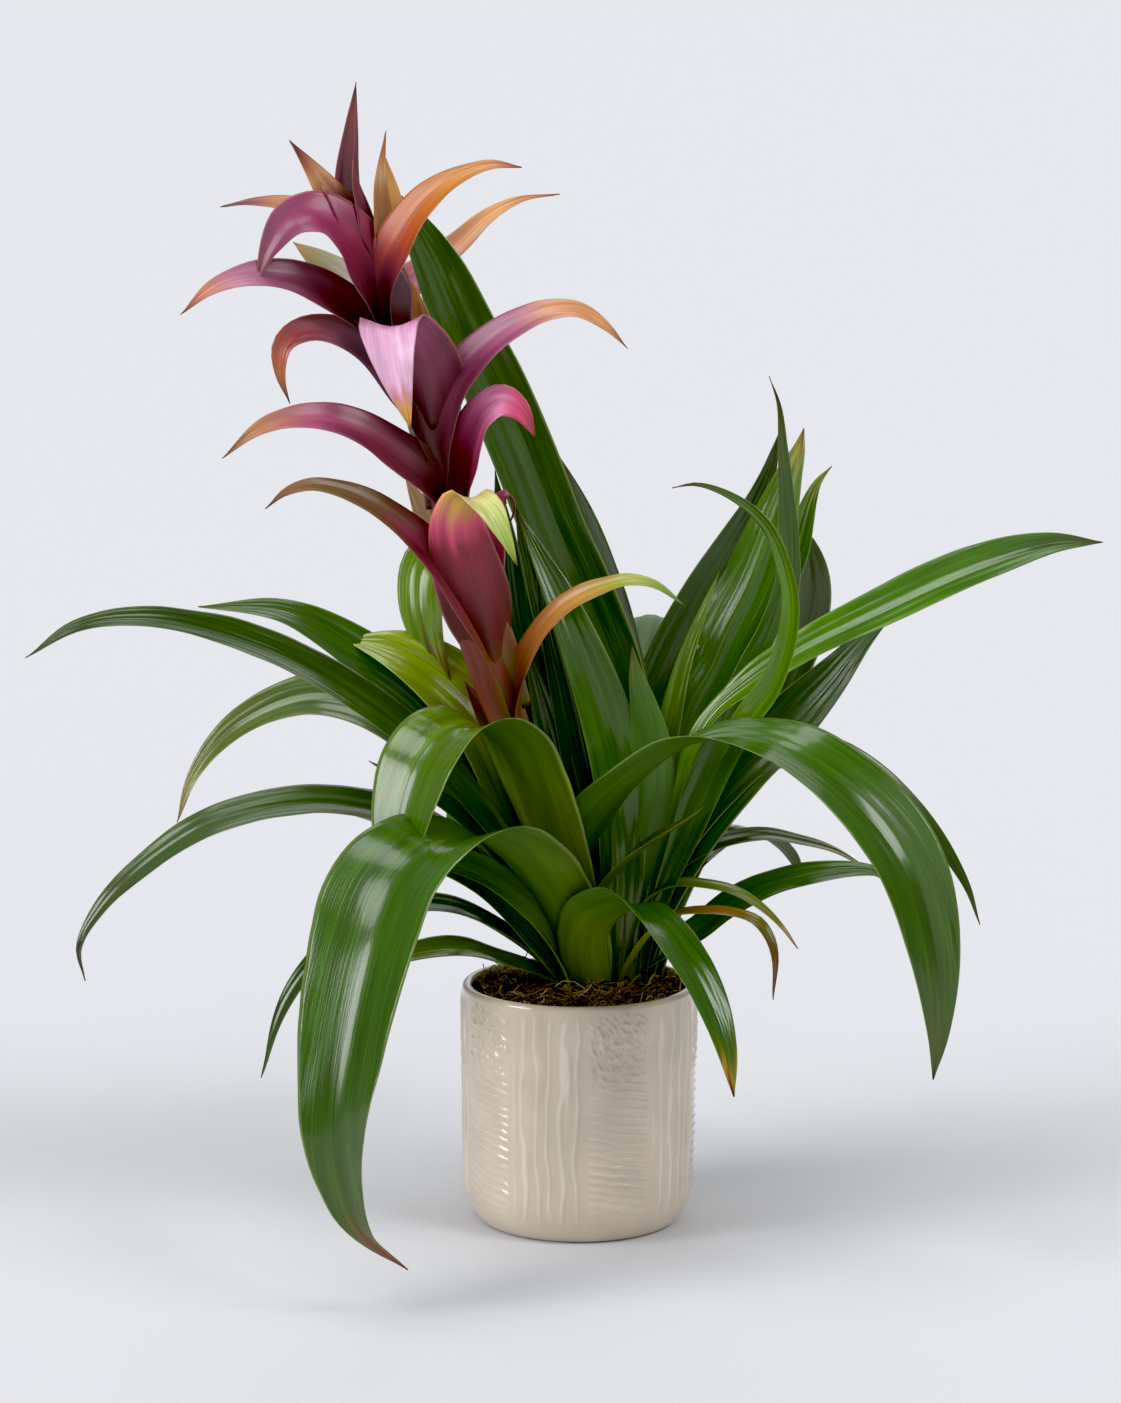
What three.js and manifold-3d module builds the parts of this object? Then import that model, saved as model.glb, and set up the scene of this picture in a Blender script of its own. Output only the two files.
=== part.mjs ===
// A potted guzmania: a glazed ribbed pot, its growing medium, a flowering rosette with a spike of
// coloured bracts on the left, and a second leafy rosette on the right.
// Millimetres, +Z up, +Y away from the front. The origin is the middle of the pot's underside.
import * as THREE from 'three';
import Module from 'manifold-3d';

const wasm = await Module();
wasm.setup();

// Driving dimensions of the pot.
const POT_HEIGHT = 137;
const POT_RADIUS = 66;
const POT_WALL = 6;
const POT_FLOOR = 7;
const FLOOR_STEP = 6;
const FOOT_RADIUS = 51;
const FOOT_ROUNDING = 15;
const RIM_BAND = 8;
const POT_STEPS_AROUND = 120;
const MEDIUM_STEPS_AROUND = 40;
const RIB_PANELS = 5;
const RIB_DEPTH = 1.1;

// Driving dimensions of the growing medium and the two stems.
const MEDIUM_TOP = 128;
const MEDIUM_LUMPS = 2.5;
const FIT_GAP = 0.3;
const HOLE_GAP = 0.5;
const STEM_FOOT = 96;
const FLOWER_STEM_RADIUS = 9.5;
const SIDE_STEM_AT = [28, 4];
const SIDE_STEM_RADIUS = 11;
const SIDE_STEM_TOP = 168;

// Blades: thickness and the clearance that one leaf keeps from the next.
const LEAF_THICKNESS = 0.9;
const BRACT_THICKNESS = 0.9;
const LEAF_CLEARANCE = 0.35;
const TIP_WIDTH = 1.4;
const SLIVER_LIMIT = 0.05;
const STATION_SPACING = 32;
const LEAF_TAPER = [0.45, 2];
const LEAF_BASE_ANGLE = 30;
const BRACT_BASE_ANGLE = 55;

// The front view that the leaves were measured in: a point of a spine is [across, down, back],
// with across and down in steps of the view and back in mm behind the pot's axis.
const VIEW_CENTRE = [560.5, 701.5];
const VIEW_STEPS = 4367;
const VIEW_FROM = new THREE.Vector3(-10.4, -2400, 695);
const VIEW_DIP = THREE.MathUtils.degToRad(9.43);

const COLOURS = {
  glaze: '#d6cabb',
  medium: '#3a2414',
  leaf: '#2f6b1e',
  stem: '#6d7d33',
  bract: '#8a2558',
};

// Leaves of the flowering rosette: width in mm, turn of the blade towards the front in degrees at
// its root and at its tip, and the points of its spine.
const LEFT_LEAVES = {
  leaf_left_01: { width: 74, turn: [0, 0], taper: [0.5, 1.8], seen: [
    [572, 975, -12], [551, 908, -32], [514, 858, -65], [476, 838, -98], [430, 850, -125],
    [395, 885, -142], [372, 945, -160], [351, 1037, -175], [339, 1130, -185],
    [346, 1190, -188], [364, 1232, -190], [408, 1270, -185]] },
  leaf_left_02: { width: 56, turn: [0, 0], taper: [0.7, 2], seen: [
    [570, 965, -10], [561, 860, -22], [545, 795, -35], [525, 752, -48], [503, 731, -58],
    [475, 727, -68], [447, 740, -78], [427, 765, -85], [413, 800, -90], [403, 850, -95],
    [398, 920, -98]] },
  leaf_left_03: { width: 40, turn: [20, 30], seen: [
    [563, 975, 0], [505, 855, -8], [430, 762, -18], [344, 694, -28], [258, 648, -35],
    [155, 622, -40], [80, 627, -42], [25, 658, -45]] },
  leaf_left_04: { width: 40, turn: [30, 40], seen: [
    [565, 965, 5], [505, 825, 14], [430, 708, 25], [355, 652, 35], [284, 613, 45],
    [198, 607, 55]] },
  leaf_left_05: { width: 38, turn: [14, 20], seen: [
    [558, 975, -3], [500, 890, -15], [440, 838, -25], [390, 818, -32], [310, 807, -42],
    [215, 826, -55], [150, 865, -62], [104, 908, -66], [80, 948, -68], [85, 981, -68]] },
  leaf_left_06: { width: 36, turn: [30, 60], seen: [
    [562, 970, 12], [500, 850, 28], [430, 750, 48], [380, 712, 60], [330, 697, 70],
    [290, 701, 75], [232, 731, 75], [195, 775, 70], [177, 823, 62]] },
  leaf_left_07: { width: 38, turn: [25, 30], seen: [
    [568, 960, 12], [520, 850, 25], [480, 760, 35], [445, 705, 42], [405, 668, 50],
    [365, 643, 58], [320, 640, 65]] },
  leaf_left_08: { width: 34, turn: [50, 80], taper: [0.8, 2], seen: [
    [572, 950, 15], [545, 820, 30], [510, 690, 42], [475, 595, 50], [447, 556, 48],
    [430, 566, 42], [425, 600, 36], [433, 645, 30], [452, 690, 26]] },
  leaf_left_09: { width: 26, turn: [15, 15], seen: [
    [555, 980, -5], [500, 932, -18], [445, 908, -28], [380, 915, -38], [325, 955, -45],
    [285, 1008, -50], [261, 1078, -53]] },
  leaf_left_10: { width: 22, turn: [15, 15], seen: [
    [560, 965, -6], [505, 868, -14], [455, 815, -22], [410, 785, -30], [369, 761, -36]] },
  leaf_left_11: { width: 28, turn: [15, 15], seen: [
    [552, 985, -14], [500, 962, -30], [465, 952, -42], [430, 953, -52], [385, 965, -60],
    [345, 988, -66]] },
  leaf_left_12: { width: 30, turn: [15, 15], seen: [
    [565, 975, -14], [532, 917, -30], [497, 886, -42], [461, 867, -52], [420, 862, -60],
    [380, 875, -68]] },
  leaf_left_13: { width: 28, turn: [15, 15], seen: [
    [560, 982, -10], [522, 928, -20], [480, 888, -28], [440, 868, -36], [400, 862, -42]] },
  leaf_left_14: { width: 34, turn: [70, 75], seen: [
    [590, 950, 8], [562, 850, 14], [535, 720, 18], [513, 620, 20], [505, 540, 20],
    [495, 470, 20]] },
  leaf_left_15: { width: 24, turn: [60, 70], seen: [
    [578, 955, 2], [568, 860, 2], [556, 770, 2], [541, 705, 2], [524, 640, 3]] },
};

// Leaves of the leafy rosette.
const RIGHT_LEAVES = {
  leaf_right_01: { width: 34, turn: [0, 0], seen: [
    [590, 985, -20], [583, 945, -30], [590, 922, -40], [608, 909, -52], [632, 905, -65],
    [657, 926, -80], [681, 958, -92], [705, 998, -102], [724, 1045, -110],
    [734, 1097, -115]] },
  leaf_right_02: { width: 50, turn: [-40, 55], taper: [0.6, 2], seen: [
    [588, 970, -8], [577, 900, -15], [592, 830, -30], [640, 777, -50], [700, 742, -70],
    [775, 748, -90], [850, 795, -105], [905, 862, -115], [932, 950, -122],
    [938, 1030, -126], [933, 1080, -128]] },
  leaf_right_03: { width: 50, turn: [45, 55], taper: [0.6, 2.5], seen: [
    [640, 945, -4], [662, 850, -10], [692, 750, -16], [735, 693, -20], [797, 650, -24],
    [882, 607, -30], [975, 563, -36], [1050, 543, -40], [1103, 542, -42]] },
  leaf_right_04: { width: 38, turn: [70, 80], seen: [
    [645, 945, 10], [680, 810, 18], [722, 690, 22], [752, 600, 22], [776, 520, 20],
    [781, 440, 18], [769, 376, 16]] },
  leaf_right_05: { width: 34, turn: [70, 75], seen: [
    [640, 945, 16], [665, 800, 30], [688, 690, 36], [716, 620, 38], [748, 560, 38],
    [776, 500, 38], [804, 428, 38]] },
  leaf_right_06: { width: 40, turn: [70, 75], seen: [
    [645, 940, 20], [675, 765, 50], [705, 690, 58], [740, 630, 62], [775, 570, 62],
    [805, 520, 62], [832, 466, 60]] },
  leaf_right_07: { width: 22, turn: [40, 50], seen: [
    [650, 940, -6], [700, 830, -30], [750, 735, -50], [782, 682, -58], [796, 620, -58],
    [784, 560, -54], [755, 514, -52], [715, 487, -52], [672, 488, -54]] },
  leaf_right_08: { width: 36, turn: [70, 80], seen: [
    [652, 935, 22], [735, 760, 60], [795, 670, 72], [815, 605, 76], [812, 560, 76],
    [797, 522, 76]] },
  leaf_right_09: { width: 40, turn: [40, 50], seen: [
    [640, 950, 12], [665, 880, 14], [702, 812, 18], [742, 765, 22], [790, 722, 26],
    [828, 682, 28], [862, 642, 30], [895, 612, 30]] },
  leaf_right_10: { width: 26, turn: [40, 50], seen: [
    [652, 940, 10], [680, 850, 15], [725, 790, 20], [765, 757, 24], [830, 757, 28],
    [880, 783, 30], [930, 832, 32], [965, 885, 34], [980, 925, 34]] },
  leaf_right_11: { width: 30, turn: [70, 75], seen: [
    [635, 945, 22], [642, 800, 42], [664, 680, 48], [698, 600, 50], [733, 545, 50],
    [763, 490, 50], [780, 434, 50]] },
  leaf_right_12: { width: 16, turn: [60, 60], seen: [
    [640, 950, 2], [652, 820, 4], [668, 735, 6], [684, 665, 8], [708, 600, 10], [720, 570, 10]] },
  leaf_right_13: { width: 32, turn: [60, 70], seen: [
    [620, 960, 0], [632, 880, -8], [648, 800, -14], [650, 745, -17], [643, 705, -18],
    [636, 675, -18], [632, 645, -17]] },
  leaf_right_14: { width: 26, turn: [10, 10], seen: [
    [632, 975, 8], [650, 905, 12], [680, 867, 15], [707, 850, 18], [761, 838, 22],
    [800, 843, 26], [838, 853, 30], [880, 878, 32]] },
  leaf_right_15: { width: 34, turn: [20, 20], seen: [
    [636, 978, 5], [665, 955, 5], [700, 935, 5], [735, 908, 3], [780, 887, 0],
    [830, 875, -5], [870, 872, -8], [905, 882, -10]] },
  leaf_right_16: { width: 15, turn: [10, 10], seen: [
    [628, 975, -4], [645, 905, -12], [674, 886, -18], [704, 886, -24], [735, 893, -30],
    [762, 909, -36], [784, 930, -42], [798, 949, -45]] },
  leaf_right_17: { width: 14, turn: [10, 10], seen: [
    [625, 980, -8], [650, 935, -18], [674, 916, -26], [702, 912, -34], [732, 914, -42],
    [756, 922, -50], [768, 937, -54], [774, 957, -57], [773, 1000, -60]] },
  leaf_right_18: { width: 30, turn: [20, 20], seen: [
    [603, 968, -14], [603, 900, -24], [625, 866, -32], [655, 841, -38], [683, 823, -42],
    [705, 806, -45]] },
  leaf_right_19: { width: 38, turn: [70, 80], taper: [0.6, 5], seen: [
    [612, 950, 14], [628, 800, 26], [618, 690, 32], [581, 590, 38], [556, 535, 40],
    [523, 450, 42], [494, 383, 43], [466, 328, 44], [438, 265, 44], [397, 192, 44]] },
  leaf_right_20: { width: 36, turn: [70, 75], taper: [0.6, 3], seen: [
    [618, 945, 20], [632, 780, 44], [628, 680, 54], [606, 590, 60], [584, 520, 62],
    [558, 455, 62]] },
  leaf_right_21: { width: 28, turn: [65, 70], seen: [
    [600, 945, 10], [586, 830, 16], [566, 715, 20], [546, 630, 24], [530, 570, 26],
    [515, 505, 28]] },
  leaf_right_22: { width: 32, turn: [65, 70], seen: [
    [618, 955, -5], [621, 860, -10], [618, 775, -12], [603, 712, -10], [583, 655, -6],
    [560, 600, 0], [537, 552, 6], [516, 508, 10]] },
  leaf_right_23: { width: 26, turn: [65, 70], seen: [
    [608, 950, 2], [592, 820, 4], [570, 710, 6], [548, 620, 8], [535, 560, 10]] },
  leaf_right_24: { width: 30, turn: [65, 70], seen: [
    [600, 945, 22], [575, 840, 35], [556, 760, 42], [553, 700, 46], [558, 650, 50],
    [565, 610, 52]] },
};

// Leaves at the back, with their spine points in mm as [x, y, z].
const REAR_LEAVES = {
  leaf_rear_01: { width: 36, turn: [0, 0], at: [
    [22, 14, 150], [30, 55, 250], [36, 95, 305], [42, 135, 325], [46, 170, 310],
    [50, 200, 270], [52, 218, 215]] },
  leaf_rear_02: { width: 36, turn: [0, 0], at: [
    [20, 12, 140], [25, 60, 215], [25, 120, 245], [20, 185, 225], [15, 240, 165]] },
  leaf_rear_03: { width: 38, turn: [0, 0], at: [
    [25, 12, 140], [55, 60, 220], [95, 120, 255], [135, 180, 235], [165, 225, 180]] },
  leaf_rear_04: { width: 36, turn: [0, 0], at: [
    [-12, 10, 140], [-25, 60, 215], [-45, 115, 240], [-65, 165, 215], [-80, 205, 160]] },
  leaf_rear_05: { width: 34, turn: [0, 0], at: [
    [5, 14, 138], [8, 60, 180], [5, 110, 190], [0, 155, 165], [-5, 190, 120]] },
  leaf_rear_06: { width: 32, turn: [0, 0], at: [
    [28, 10, 140], [60, 45, 190], [95, 80, 205], [120, 110, 190], [135, 130, 165]] },
  leaf_rear_07: { width: 34, turn: [20, 20], at: [
    [-14, 6, 140], [-60, 25, 195], [-110, 50, 222], [-165, 75, 224], [-215, 95, 202]] },
};

// The flower stalk, from the medium to the top, and the radii along it.
const STALK = [
  [572, 955, -2], [550, 850, -6], [520, 760, -10], [497, 690, -12], [478, 630, -14],
  [462, 560, -16], [445, 490, -18], [422, 410, -20], [400, 340, -21], [375, 280, -22],
  [352, 225, -23]];
const STALK_RADII = [FLOWER_STEM_RADIUS, 9.5, 9.5, 10, 10.5, 11, 10, 9, 8, 6.5, 4];

// Bracts, from the top of the spike to its foot.
const BRACTS = {
  top_upright: { width: 18, turn: 45, seen: [
    [352, 235, -23], [347, 180, -22], [351, 130, -21], [356, 82, -20]] },
  top_front: { width: 16, turn: 45, seen: [
    [372, 262, -26], [362, 215, -29], [355, 185, -29], [353, 159, -28]] },
  top_dried: { width: 14, turn: 45, seen: [
    [350, 235, -26], [330, 205, -30], [310, 175, -32], [289, 140, -34]] },
  top_dried_short: { width: 16, turn: 45, seen: [
    [352, 245, -26], [335, 215, -32], [320, 197, -35], [310, 186, -37]] },
  top_left: { width: 18, turn: 35, seen: [
    [358, 250, -18], [325, 218, -12], [290, 206, -6], [250, 203, 0], [220, 207, 4]] },
  broad_left: { width: 34, turn: 45, seen: [
    [378, 330, -30], [360, 280, -38], [340, 238, -44], [320, 218, -48], [293, 221, -52],
    [272, 248, -55], [257, 283, -57]] },
  upper_right: { width: 26, turn: 45, seen: [
    [392, 332, -30], [386, 285, -36], [400, 243, -40], [424, 205, -42], [455, 180, -44],
    [490, 166, -45], [522, 167, -46]] },
  top_right: { width: 18, turn: 55, seen: [
    [386, 285, -24], [381, 230, -25], [379, 180, -25], [386, 130, -24]] },
  top_right_rear: { width: 18, turn: 55, seen: [
    [394, 280, -12], [397, 230, -8], [393, 190, -6], [386, 158, -5]] },
  rear_right: { width: 21, turn: 35, seen: [
    [390, 310, -18], [415, 275, 20], [454, 254, 58], [489, 216, 64], [521, 200, 68],
    [560, 194, 72]] },
  upper_left: { width: 23, turn: 45, seen: [
    [378, 340, -30], [350, 315, -38], [320, 292, -46], [290, 279, -52], [255, 276, -58],
    [215, 287, -64], [180, 315, -68]] },
  pale_rear: { width: 21, turn: 45, seen: [
    [372, 325, -10], [345, 285, 2], [320, 262, 10], [293, 242, 18]] },
  curled_left: { width: 26, turn: 45, seen: [
    [425, 455, -22], [402, 405, -30], [375, 362, -38], [343, 337, -46], [307, 331, -52],
    [284, 345, -56], [281, 375, -58], [290, 404, -60]] },
  folded_front: { width: 45, turn: 0, seen: [
    [432, 430, -30], [424, 385, -40], [408, 345, -50], [391, 327, -60], [392, 345, -70],
    [400, 385, -76], [411, 430, -78]] },
  middle_right: { width: 24, turn: 45, seen: [
    [452, 500, -24], [446, 430, -32], [457, 384, -36], [483, 352, -40], [514, 328, -43],
    [546, 313, -46], [578, 311, -48], [604, 325, -50], [628, 349, -51]] },
  curled_right: { width: 24, turn: 45, seen: [
    [472, 520, -26], [465, 465, -34], [466, 428, -38], [480, 405, -42], [503, 399, -45],
    [521, 409, -48], [536, 438, -50]] },
  rear_middle: { width: 18, turn: 45, seen: [
    [450, 440, -8], [447, 385, 2], [437, 330, 8]] },
  rear_upper: { width: 16, turn: 45, seen: [
    [425, 380, -6], [422, 320, 4], [412, 280, 8]] },
  middle_left: { width: 29, turn: 45, seen: [
    [455, 535, -24], [430, 488, -34], [395, 455, -42], [361, 432, -50], [329, 421, -56],
    [297, 419, -62], [262, 428, -68], [222, 459, -74]] },
  lower_left: { width: 32, turn: 45, seen: [
    [507, 715, -18], [485, 650, -26], [455, 590, -34], [425, 550, -42], [390, 518, -48],
    [350, 495, -54], [313, 486, -60], [285, 493, -64], [265, 509, -67]] },
  lower_front: { width: 32, turn: 0, seen: [
    [497, 665, -22], [478, 605, -34], [463, 555, -44], [458, 520, -52], [468, 498, -60],
    [488, 508, -68], [504, 535, -72], [517, 566, -74]] },
  small_curl: { width: 18, turn: 35, seen: [
    [490, 610, -6], [492, 545, 2], [498, 505, 6], [508, 495, 6], [514, 508, 4],
    [509, 525, 0]] },
  lower_rear: { width: 18, turn: 45, seen: [
    [450, 575, -8], [428, 520, 4], [405, 477, 10]] },
  foot_right: { width: 18, turn: 45, seen: [
    [527, 745, -14], [522, 700, -20], [530, 655, -26], [550, 622, -31], [576, 600, -36],
    [603, 588, -41], [628, 581, -46], [655, 585, -50], [686, 607, -54]] },
  foot_rear: { width: 18, turn: 45, seen: [
    [508, 720, -8], [500, 660, -2], [490, 600, 2], [480, 560, 4]] },
  foot_left: { width: 18, turn: 45, seen: [
    [510, 745, -14], [490, 705, -18], [470, 686, -18]] },
};

// A point of the front view, [across, down, back], as millimetres.
function fromFrontView([across, down, back]) {
  const aside = (across - VIEW_CENTRE[0]) / VIEW_STEPS;
  const drop = (down - VIEW_CENTRE[1]) / VIEW_STEPS;
  const level = Math.cos(VIEW_DIP) - drop * Math.sin(VIEW_DIP);
  const sight = new THREE.Vector3(aside, level, -Math.sin(VIEW_DIP) - drop * Math.cos(VIEW_DIP));
  return VIEW_FROM.clone().addScaledVector(sight, (back - VIEW_FROM.y) / sight.y);
}

// A closed body from a list of points and triangles, with its faces pointing out.
function closedBody(points, triangles) {
  let volume = 0;
  for (const [a, b, c] of triangles) {
    volume += points[a].dot(points[b].clone().cross(points[c]));
  }
  const facing = volume > 0 ? triangles : triangles.map(([a, b, c]) => [a, c, b]);
  const vertProperties = new Float32Array(points.flatMap((p) => [p.x, p.y, p.z]));
  const triVerts = new Uint32Array(facing.flat());
  return new wasm.Manifold(new wasm.Mesh({ numProp: 3, vertProperties, triVerts }));
}

// A closed body skinned over rings that all have the same number of points.
function skinRings(rings) {
  const size = rings[0].length;
  const points = rings.flat();
  const triangles = [];
  for (let ring = 0; ring + 1 < rings.length; ring += 1) {
    for (let step = 0; step < size; step += 1) {
      const next = (step + 1) % size;
      const here = ring * size;
      const above = here + size;
      triangles.push([here + step, here + next, above + next], [here + step, above + next, above + step]);
    }
  }
  for (const [ring, flip] of [[0, true], [rings.length - 1, false]]) {
    const middle = new THREE.Vector3();
    rings[ring].forEach((p) => middle.addScaledVector(p, 1 / size));
    points.push(middle);
    for (let step = 0; step < size; step += 1) {
      const edge = [ring * size + step, ring * size + ((step + 1) % size)];
      triangles.push([points.length - 1, ...(flip ? edge.reverse() : edge)]);
    }
  }
  return closedBody(points, triangles);
}

// Share of the full width along a leaf: a clasping base, then a tip that tapers from a share of
// the length on, by a power that makes it long and slender or blunt.
function strapOutline(along, [from, power]) {
  const base = 0.72 + 0.28 * THREE.MathUtils.smoothstep(along, 0.1, 0.5);
  return base * (1 - Math.pow(Math.max(0, (along - from) / (1 - from)), power));
}

// Share of the full width along a bract, widest near its clasping base.
function bractOutline(along) {
  return 1 - Math.pow(Math.max(0, (along - 0.3) / 0.7), 1.6);
}

// Rise of a blade's edges over its middle, as an angle: deep at the base and shallow beyond it.
function channelAngle(along, baseAngle) {
  return THREE.MathUtils.degToRad(12 + (baseAngle - 12) * (1 - THREE.MathUtils.smoothstep(along, 0, 0.4)));
}

// A channelled blade that follows its spine. The clearance makes it larger on every side.
function bladeBody({ points, width, turn, outline, baseAngle, thickness }, clearance = 0) {
  const curve = new THREE.CatmullRomCurve3(points, false, 'centripetal');
  const stations = THREE.MathUtils.clamp(Math.round(curve.getLength() / STATION_SPACING), 4, 14);
  const far = points.reduce((best, p) => (reach(points[0], p) > reach(points[0], best) ? p : best));
  const heading = new THREE.Vector3(far.x - points[0].x, far.y - points[0].y, 0).normalize();
  const level = new THREE.Vector3(heading.y, -heading.x, 0);
  const corners = [];
  for (let station = 0; station <= stations; station += 1) {
    const along = station / stations;
    const centre = curve.getPointAt(along);
    const tangent = curve.getTangentAt(along);
    const end = Number(station === stations) - Number(station === 0);
    centre.addScaledVector(tangent, end * clearance);
    const side = level.clone().addScaledVector(tangent, -level.dot(tangent)).normalize();
    const face = side.clone().cross(tangent);
    const angle = THREE.MathUtils.degToRad(THREE.MathUtils.lerp(...turn, along)) * Math.sign(heading.x);
    side.applyAxisAngle(tangent, angle);
    face.applyAxisAngle(tangent, angle);
    const half = Math.max(width * outline(along), TIP_WIDTH) / 2 + clearance;
    const rise = half * Math.sin(channelAngle(along, baseAngle));
    const spread = half * Math.cos(channelAngle(along, baseAngle));
    for (const lift of [thickness / 2 + clearance, -thickness / 2 - clearance]) {
      for (const edge of [-1, 0, 1]) {
        const corner = centre.clone().addScaledVector(side, edge * spread);
        corners.push(corner.addScaledVector(face, Math.abs(edge) * rise + lift));
      }
    }
  }
  const triangles = [];
  const quad = (a, b, c, d) => triangles.push([a, b, c], [a, c, d]);
  for (let station = 0; station < stations; station += 1) {
    const corner = [0, 1, 2, 3, 4, 5].map((k) => station * 6 + k);
    const [left, rib, right, leftUnder, ribUnder, rightUnder] = corner;
    quad(left, rib, rib + 6, left + 6);
    quad(rib, right, right + 6, rib + 6);
    triangles.push([leftUnder, ribUnder + 6, ribUnder], [leftUnder, leftUnder + 6, ribUnder + 6]);
    triangles.push([ribUnder, rightUnder + 6, rightUnder], [ribUnder, ribUnder + 6, rightUnder + 6]);
    quad(left + 6, leftUnder + 6, leftUnder, left);
    quad(rightUnder + 6, right + 6, right, rightUnder);
  }
  quad(0, 3, 4, 1);
  quad(1, 4, 5, 2);
  const last = stations * 6;
  quad(last + 1, last + 4, last + 3, last);
  quad(last + 2, last + 5, last + 4, last + 1);
  return closedBody(corners, triangles);
}

// How far two points lie apart on the level.
function reach(a, b) {
  return Math.hypot(b.x - a.x, b.y - a.y);
}

// A round stalk through the points, with a radius for each of them.
function stalkBody(points, radii, clearance = 0) {
  const steps = 10;
  const curve = new THREE.CatmullRomCurve3(points, false, 'centripetal');
  const rings = [];
  for (let station = 0; station < 2 * points.length - 1; station += 1) {
    const share = station / (2 * points.length - 2);
    const place = share * (radii.length - 1);
    const under = Math.min(Math.floor(place), radii.length - 2);
    const radius = THREE.MathUtils.lerp(radii[under], radii[under + 1], place - under) + clearance;
    const centre = curve.getPoint(share);
    const tangent = curve.getTangent(share);
    const side = new THREE.Vector3(1, 0, 0).addScaledVector(tangent, -tangent.x).normalize();
    const front = tangent.clone().cross(side);
    rings.push(Array.from({ length: steps }, (_, step) => {
      const angle = (2 * Math.PI * step) / steps;
      return centre.clone().addScaledVector(side, radius * Math.cos(angle))
        .addScaledVector(front, radius * Math.sin(angle));
    }));
  }
  return skinRings(rings);
}

// Radius of the pot's outside at a height, without its relief.
function potOutside(height) {
  const rounding = Math.min(height / (FOOT_ROUNDING * 1.7), 1);
  const waist = POT_RADIUS - 1.5;
  const foot = FOOT_RADIUS + (waist - FOOT_RADIUS) * Math.sqrt(1 - Math.pow(1 - rounding, 2));
  return foot + (POT_RADIUS - waist) * (height / POT_HEIGHT);
}

// Radius of the pot's inside at a height.
function potInside(height) {
  return potOutside(Math.max(height, FOOT_ROUNDING)) - POT_WALL;
}

// Depth of the ribs at an angle, five panels of them round the pot with plain panels between.
function ribRelief(step) {
  const panelSteps = POT_STEPS_AROUND / RIB_PANELS;
  const inPanel = (step % panelSteps) / panelSteps < 0.55;
  return inPanel && step % 2 === 1 ? -RIB_DEPTH : 0;
}

// A ring of points round the pot's axis.
function levelRing(steps, height, radiusAt) {
  return Array.from({ length: steps }, (_, step) => {
    const angle = (2 * Math.PI * step) / steps;
    const radius = radiusAt(step, angle);
    const z = typeof height === 'function' ? height(radius, angle) : height;
    return new THREE.Vector3(radius * Math.cos(angle), radius * Math.sin(angle), z);
  });
}

function potBody() {
  const outer = [0, 2, 7, 15, 25.5].map((z) => levelRing(POT_STEPS_AROUND, z, () => potOutside(z)));
  const ribsFrom = 32;
  const ribsTo = POT_HEIGHT - RIM_BAND;
  for (const z of [ribsFrom, (ribsFrom + ribsTo) / 2, ribsTo]) {
    outer.push(levelRing(POT_STEPS_AROUND, z, (step) => potOutside(z) + ribRelief(step)));
  }
  const lip = POT_WALL / 2;
  for (const turn of [0, 35, 70, 90]) {
    const angle = THREE.MathUtils.degToRad(turn);
    const z = POT_HEIGHT - lip + lip * Math.sin(angle);
    outer.push(levelRing(POT_STEPS_AROUND, z, () => potOutside(POT_HEIGHT) - lip + lip * Math.cos(angle)));
  }
  const hollow = [
    [POT_FLOOR, -FLOOR_STEP], [FOOT_ROUNDING, 0], [POT_HEIGHT - lip, 0], [POT_HEIGHT - 1, 1],
    [POT_HEIGHT + 1, lip]];
  const inner = hollow.map(([z, wider]) => (
    levelRing(MEDIUM_STEPS_AROUND, z, () => potInside(Math.min(z, POT_HEIGHT)) + wider)));
  return skinRings(outer).subtract(skinRings(inner));
}

// Height of the medium's lumpy top, raised by the clearance.
function mediumTop(radius, angle, clearance) {
  const x = radius * Math.cos(angle);
  const y = radius * Math.sin(angle);
  const lumps = Math.sin(x * 0.21 + 1) * Math.cos(y * 0.17) + 0.5 * Math.sin(x * 0.4 - y * 0.33);
  return MEDIUM_TOP + MEDIUM_LUMPS * lumps * (1 - Math.pow(radius / POT_RADIUS, 4)) + clearance;
}

function mediumBody(clearance = 0) {
  const rings = [];
  const floor = POT_FLOOR + FIT_GAP;
  rings.push(levelRing(MEDIUM_STEPS_AROUND, floor, () => potInside(floor) - FLOOR_STEP - FIT_GAP));
  rings.push(levelRing(MEDIUM_STEPS_AROUND, FOOT_ROUNDING, () => potInside(FOOT_ROUNDING) - FIT_GAP));
  const shoulder = MEDIUM_TOP - 6;
  rings.push(levelRing(MEDIUM_STEPS_AROUND, shoulder, () => potInside(shoulder) - FIT_GAP));
  for (const share of [0.98, 0.82, 0.64, 0.46, 0.28, 0.12]) {
    const radius = potInside(MEDIUM_TOP) * share;
    rings.push(levelRing(MEDIUM_STEPS_AROUND, (r, a) => mediumTop(r, a, clearance), () => radius));
  }
  return skinRings(rings);
}

// An upright round post, as a stem's foot or the hole that it stands in.
function postBody([x, y], radius, from, to) {
  const ring = (z) => levelRing(16, z, () => radius).map((p) => p.add(new THREE.Vector3(x, y, 0)));
  return skinRings([ring(from), ring(to)]);
}

// The largest piece of a body that its neighbours have cut, without its finest slivers.
function largestPiece(body) {
  const pieces = body.simplify(SLIVER_LIMIT).decompose();
  return pieces.reduce((best, piece) => (piece.volume() > best.volume() ? piece : best));
}

function boxesMeet(a, b) {
  const boxA = a.boundingBox();
  const boxB = b.boundingBox();
  return [0, 1, 2].every((k) => boxA.min[k] <= boxB.max[k] && boxB.min[k] <= boxA.max[k]);
}

// A body cut clear of each neighbour that it meets.
function clearOf(body, neighbours) {
  const cut = neighbours.filter((other) => boxesMeet(body, other))
    .reduce((rest, other) => rest.subtract(other), body);
  return largestPiece(cut);
}

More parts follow.
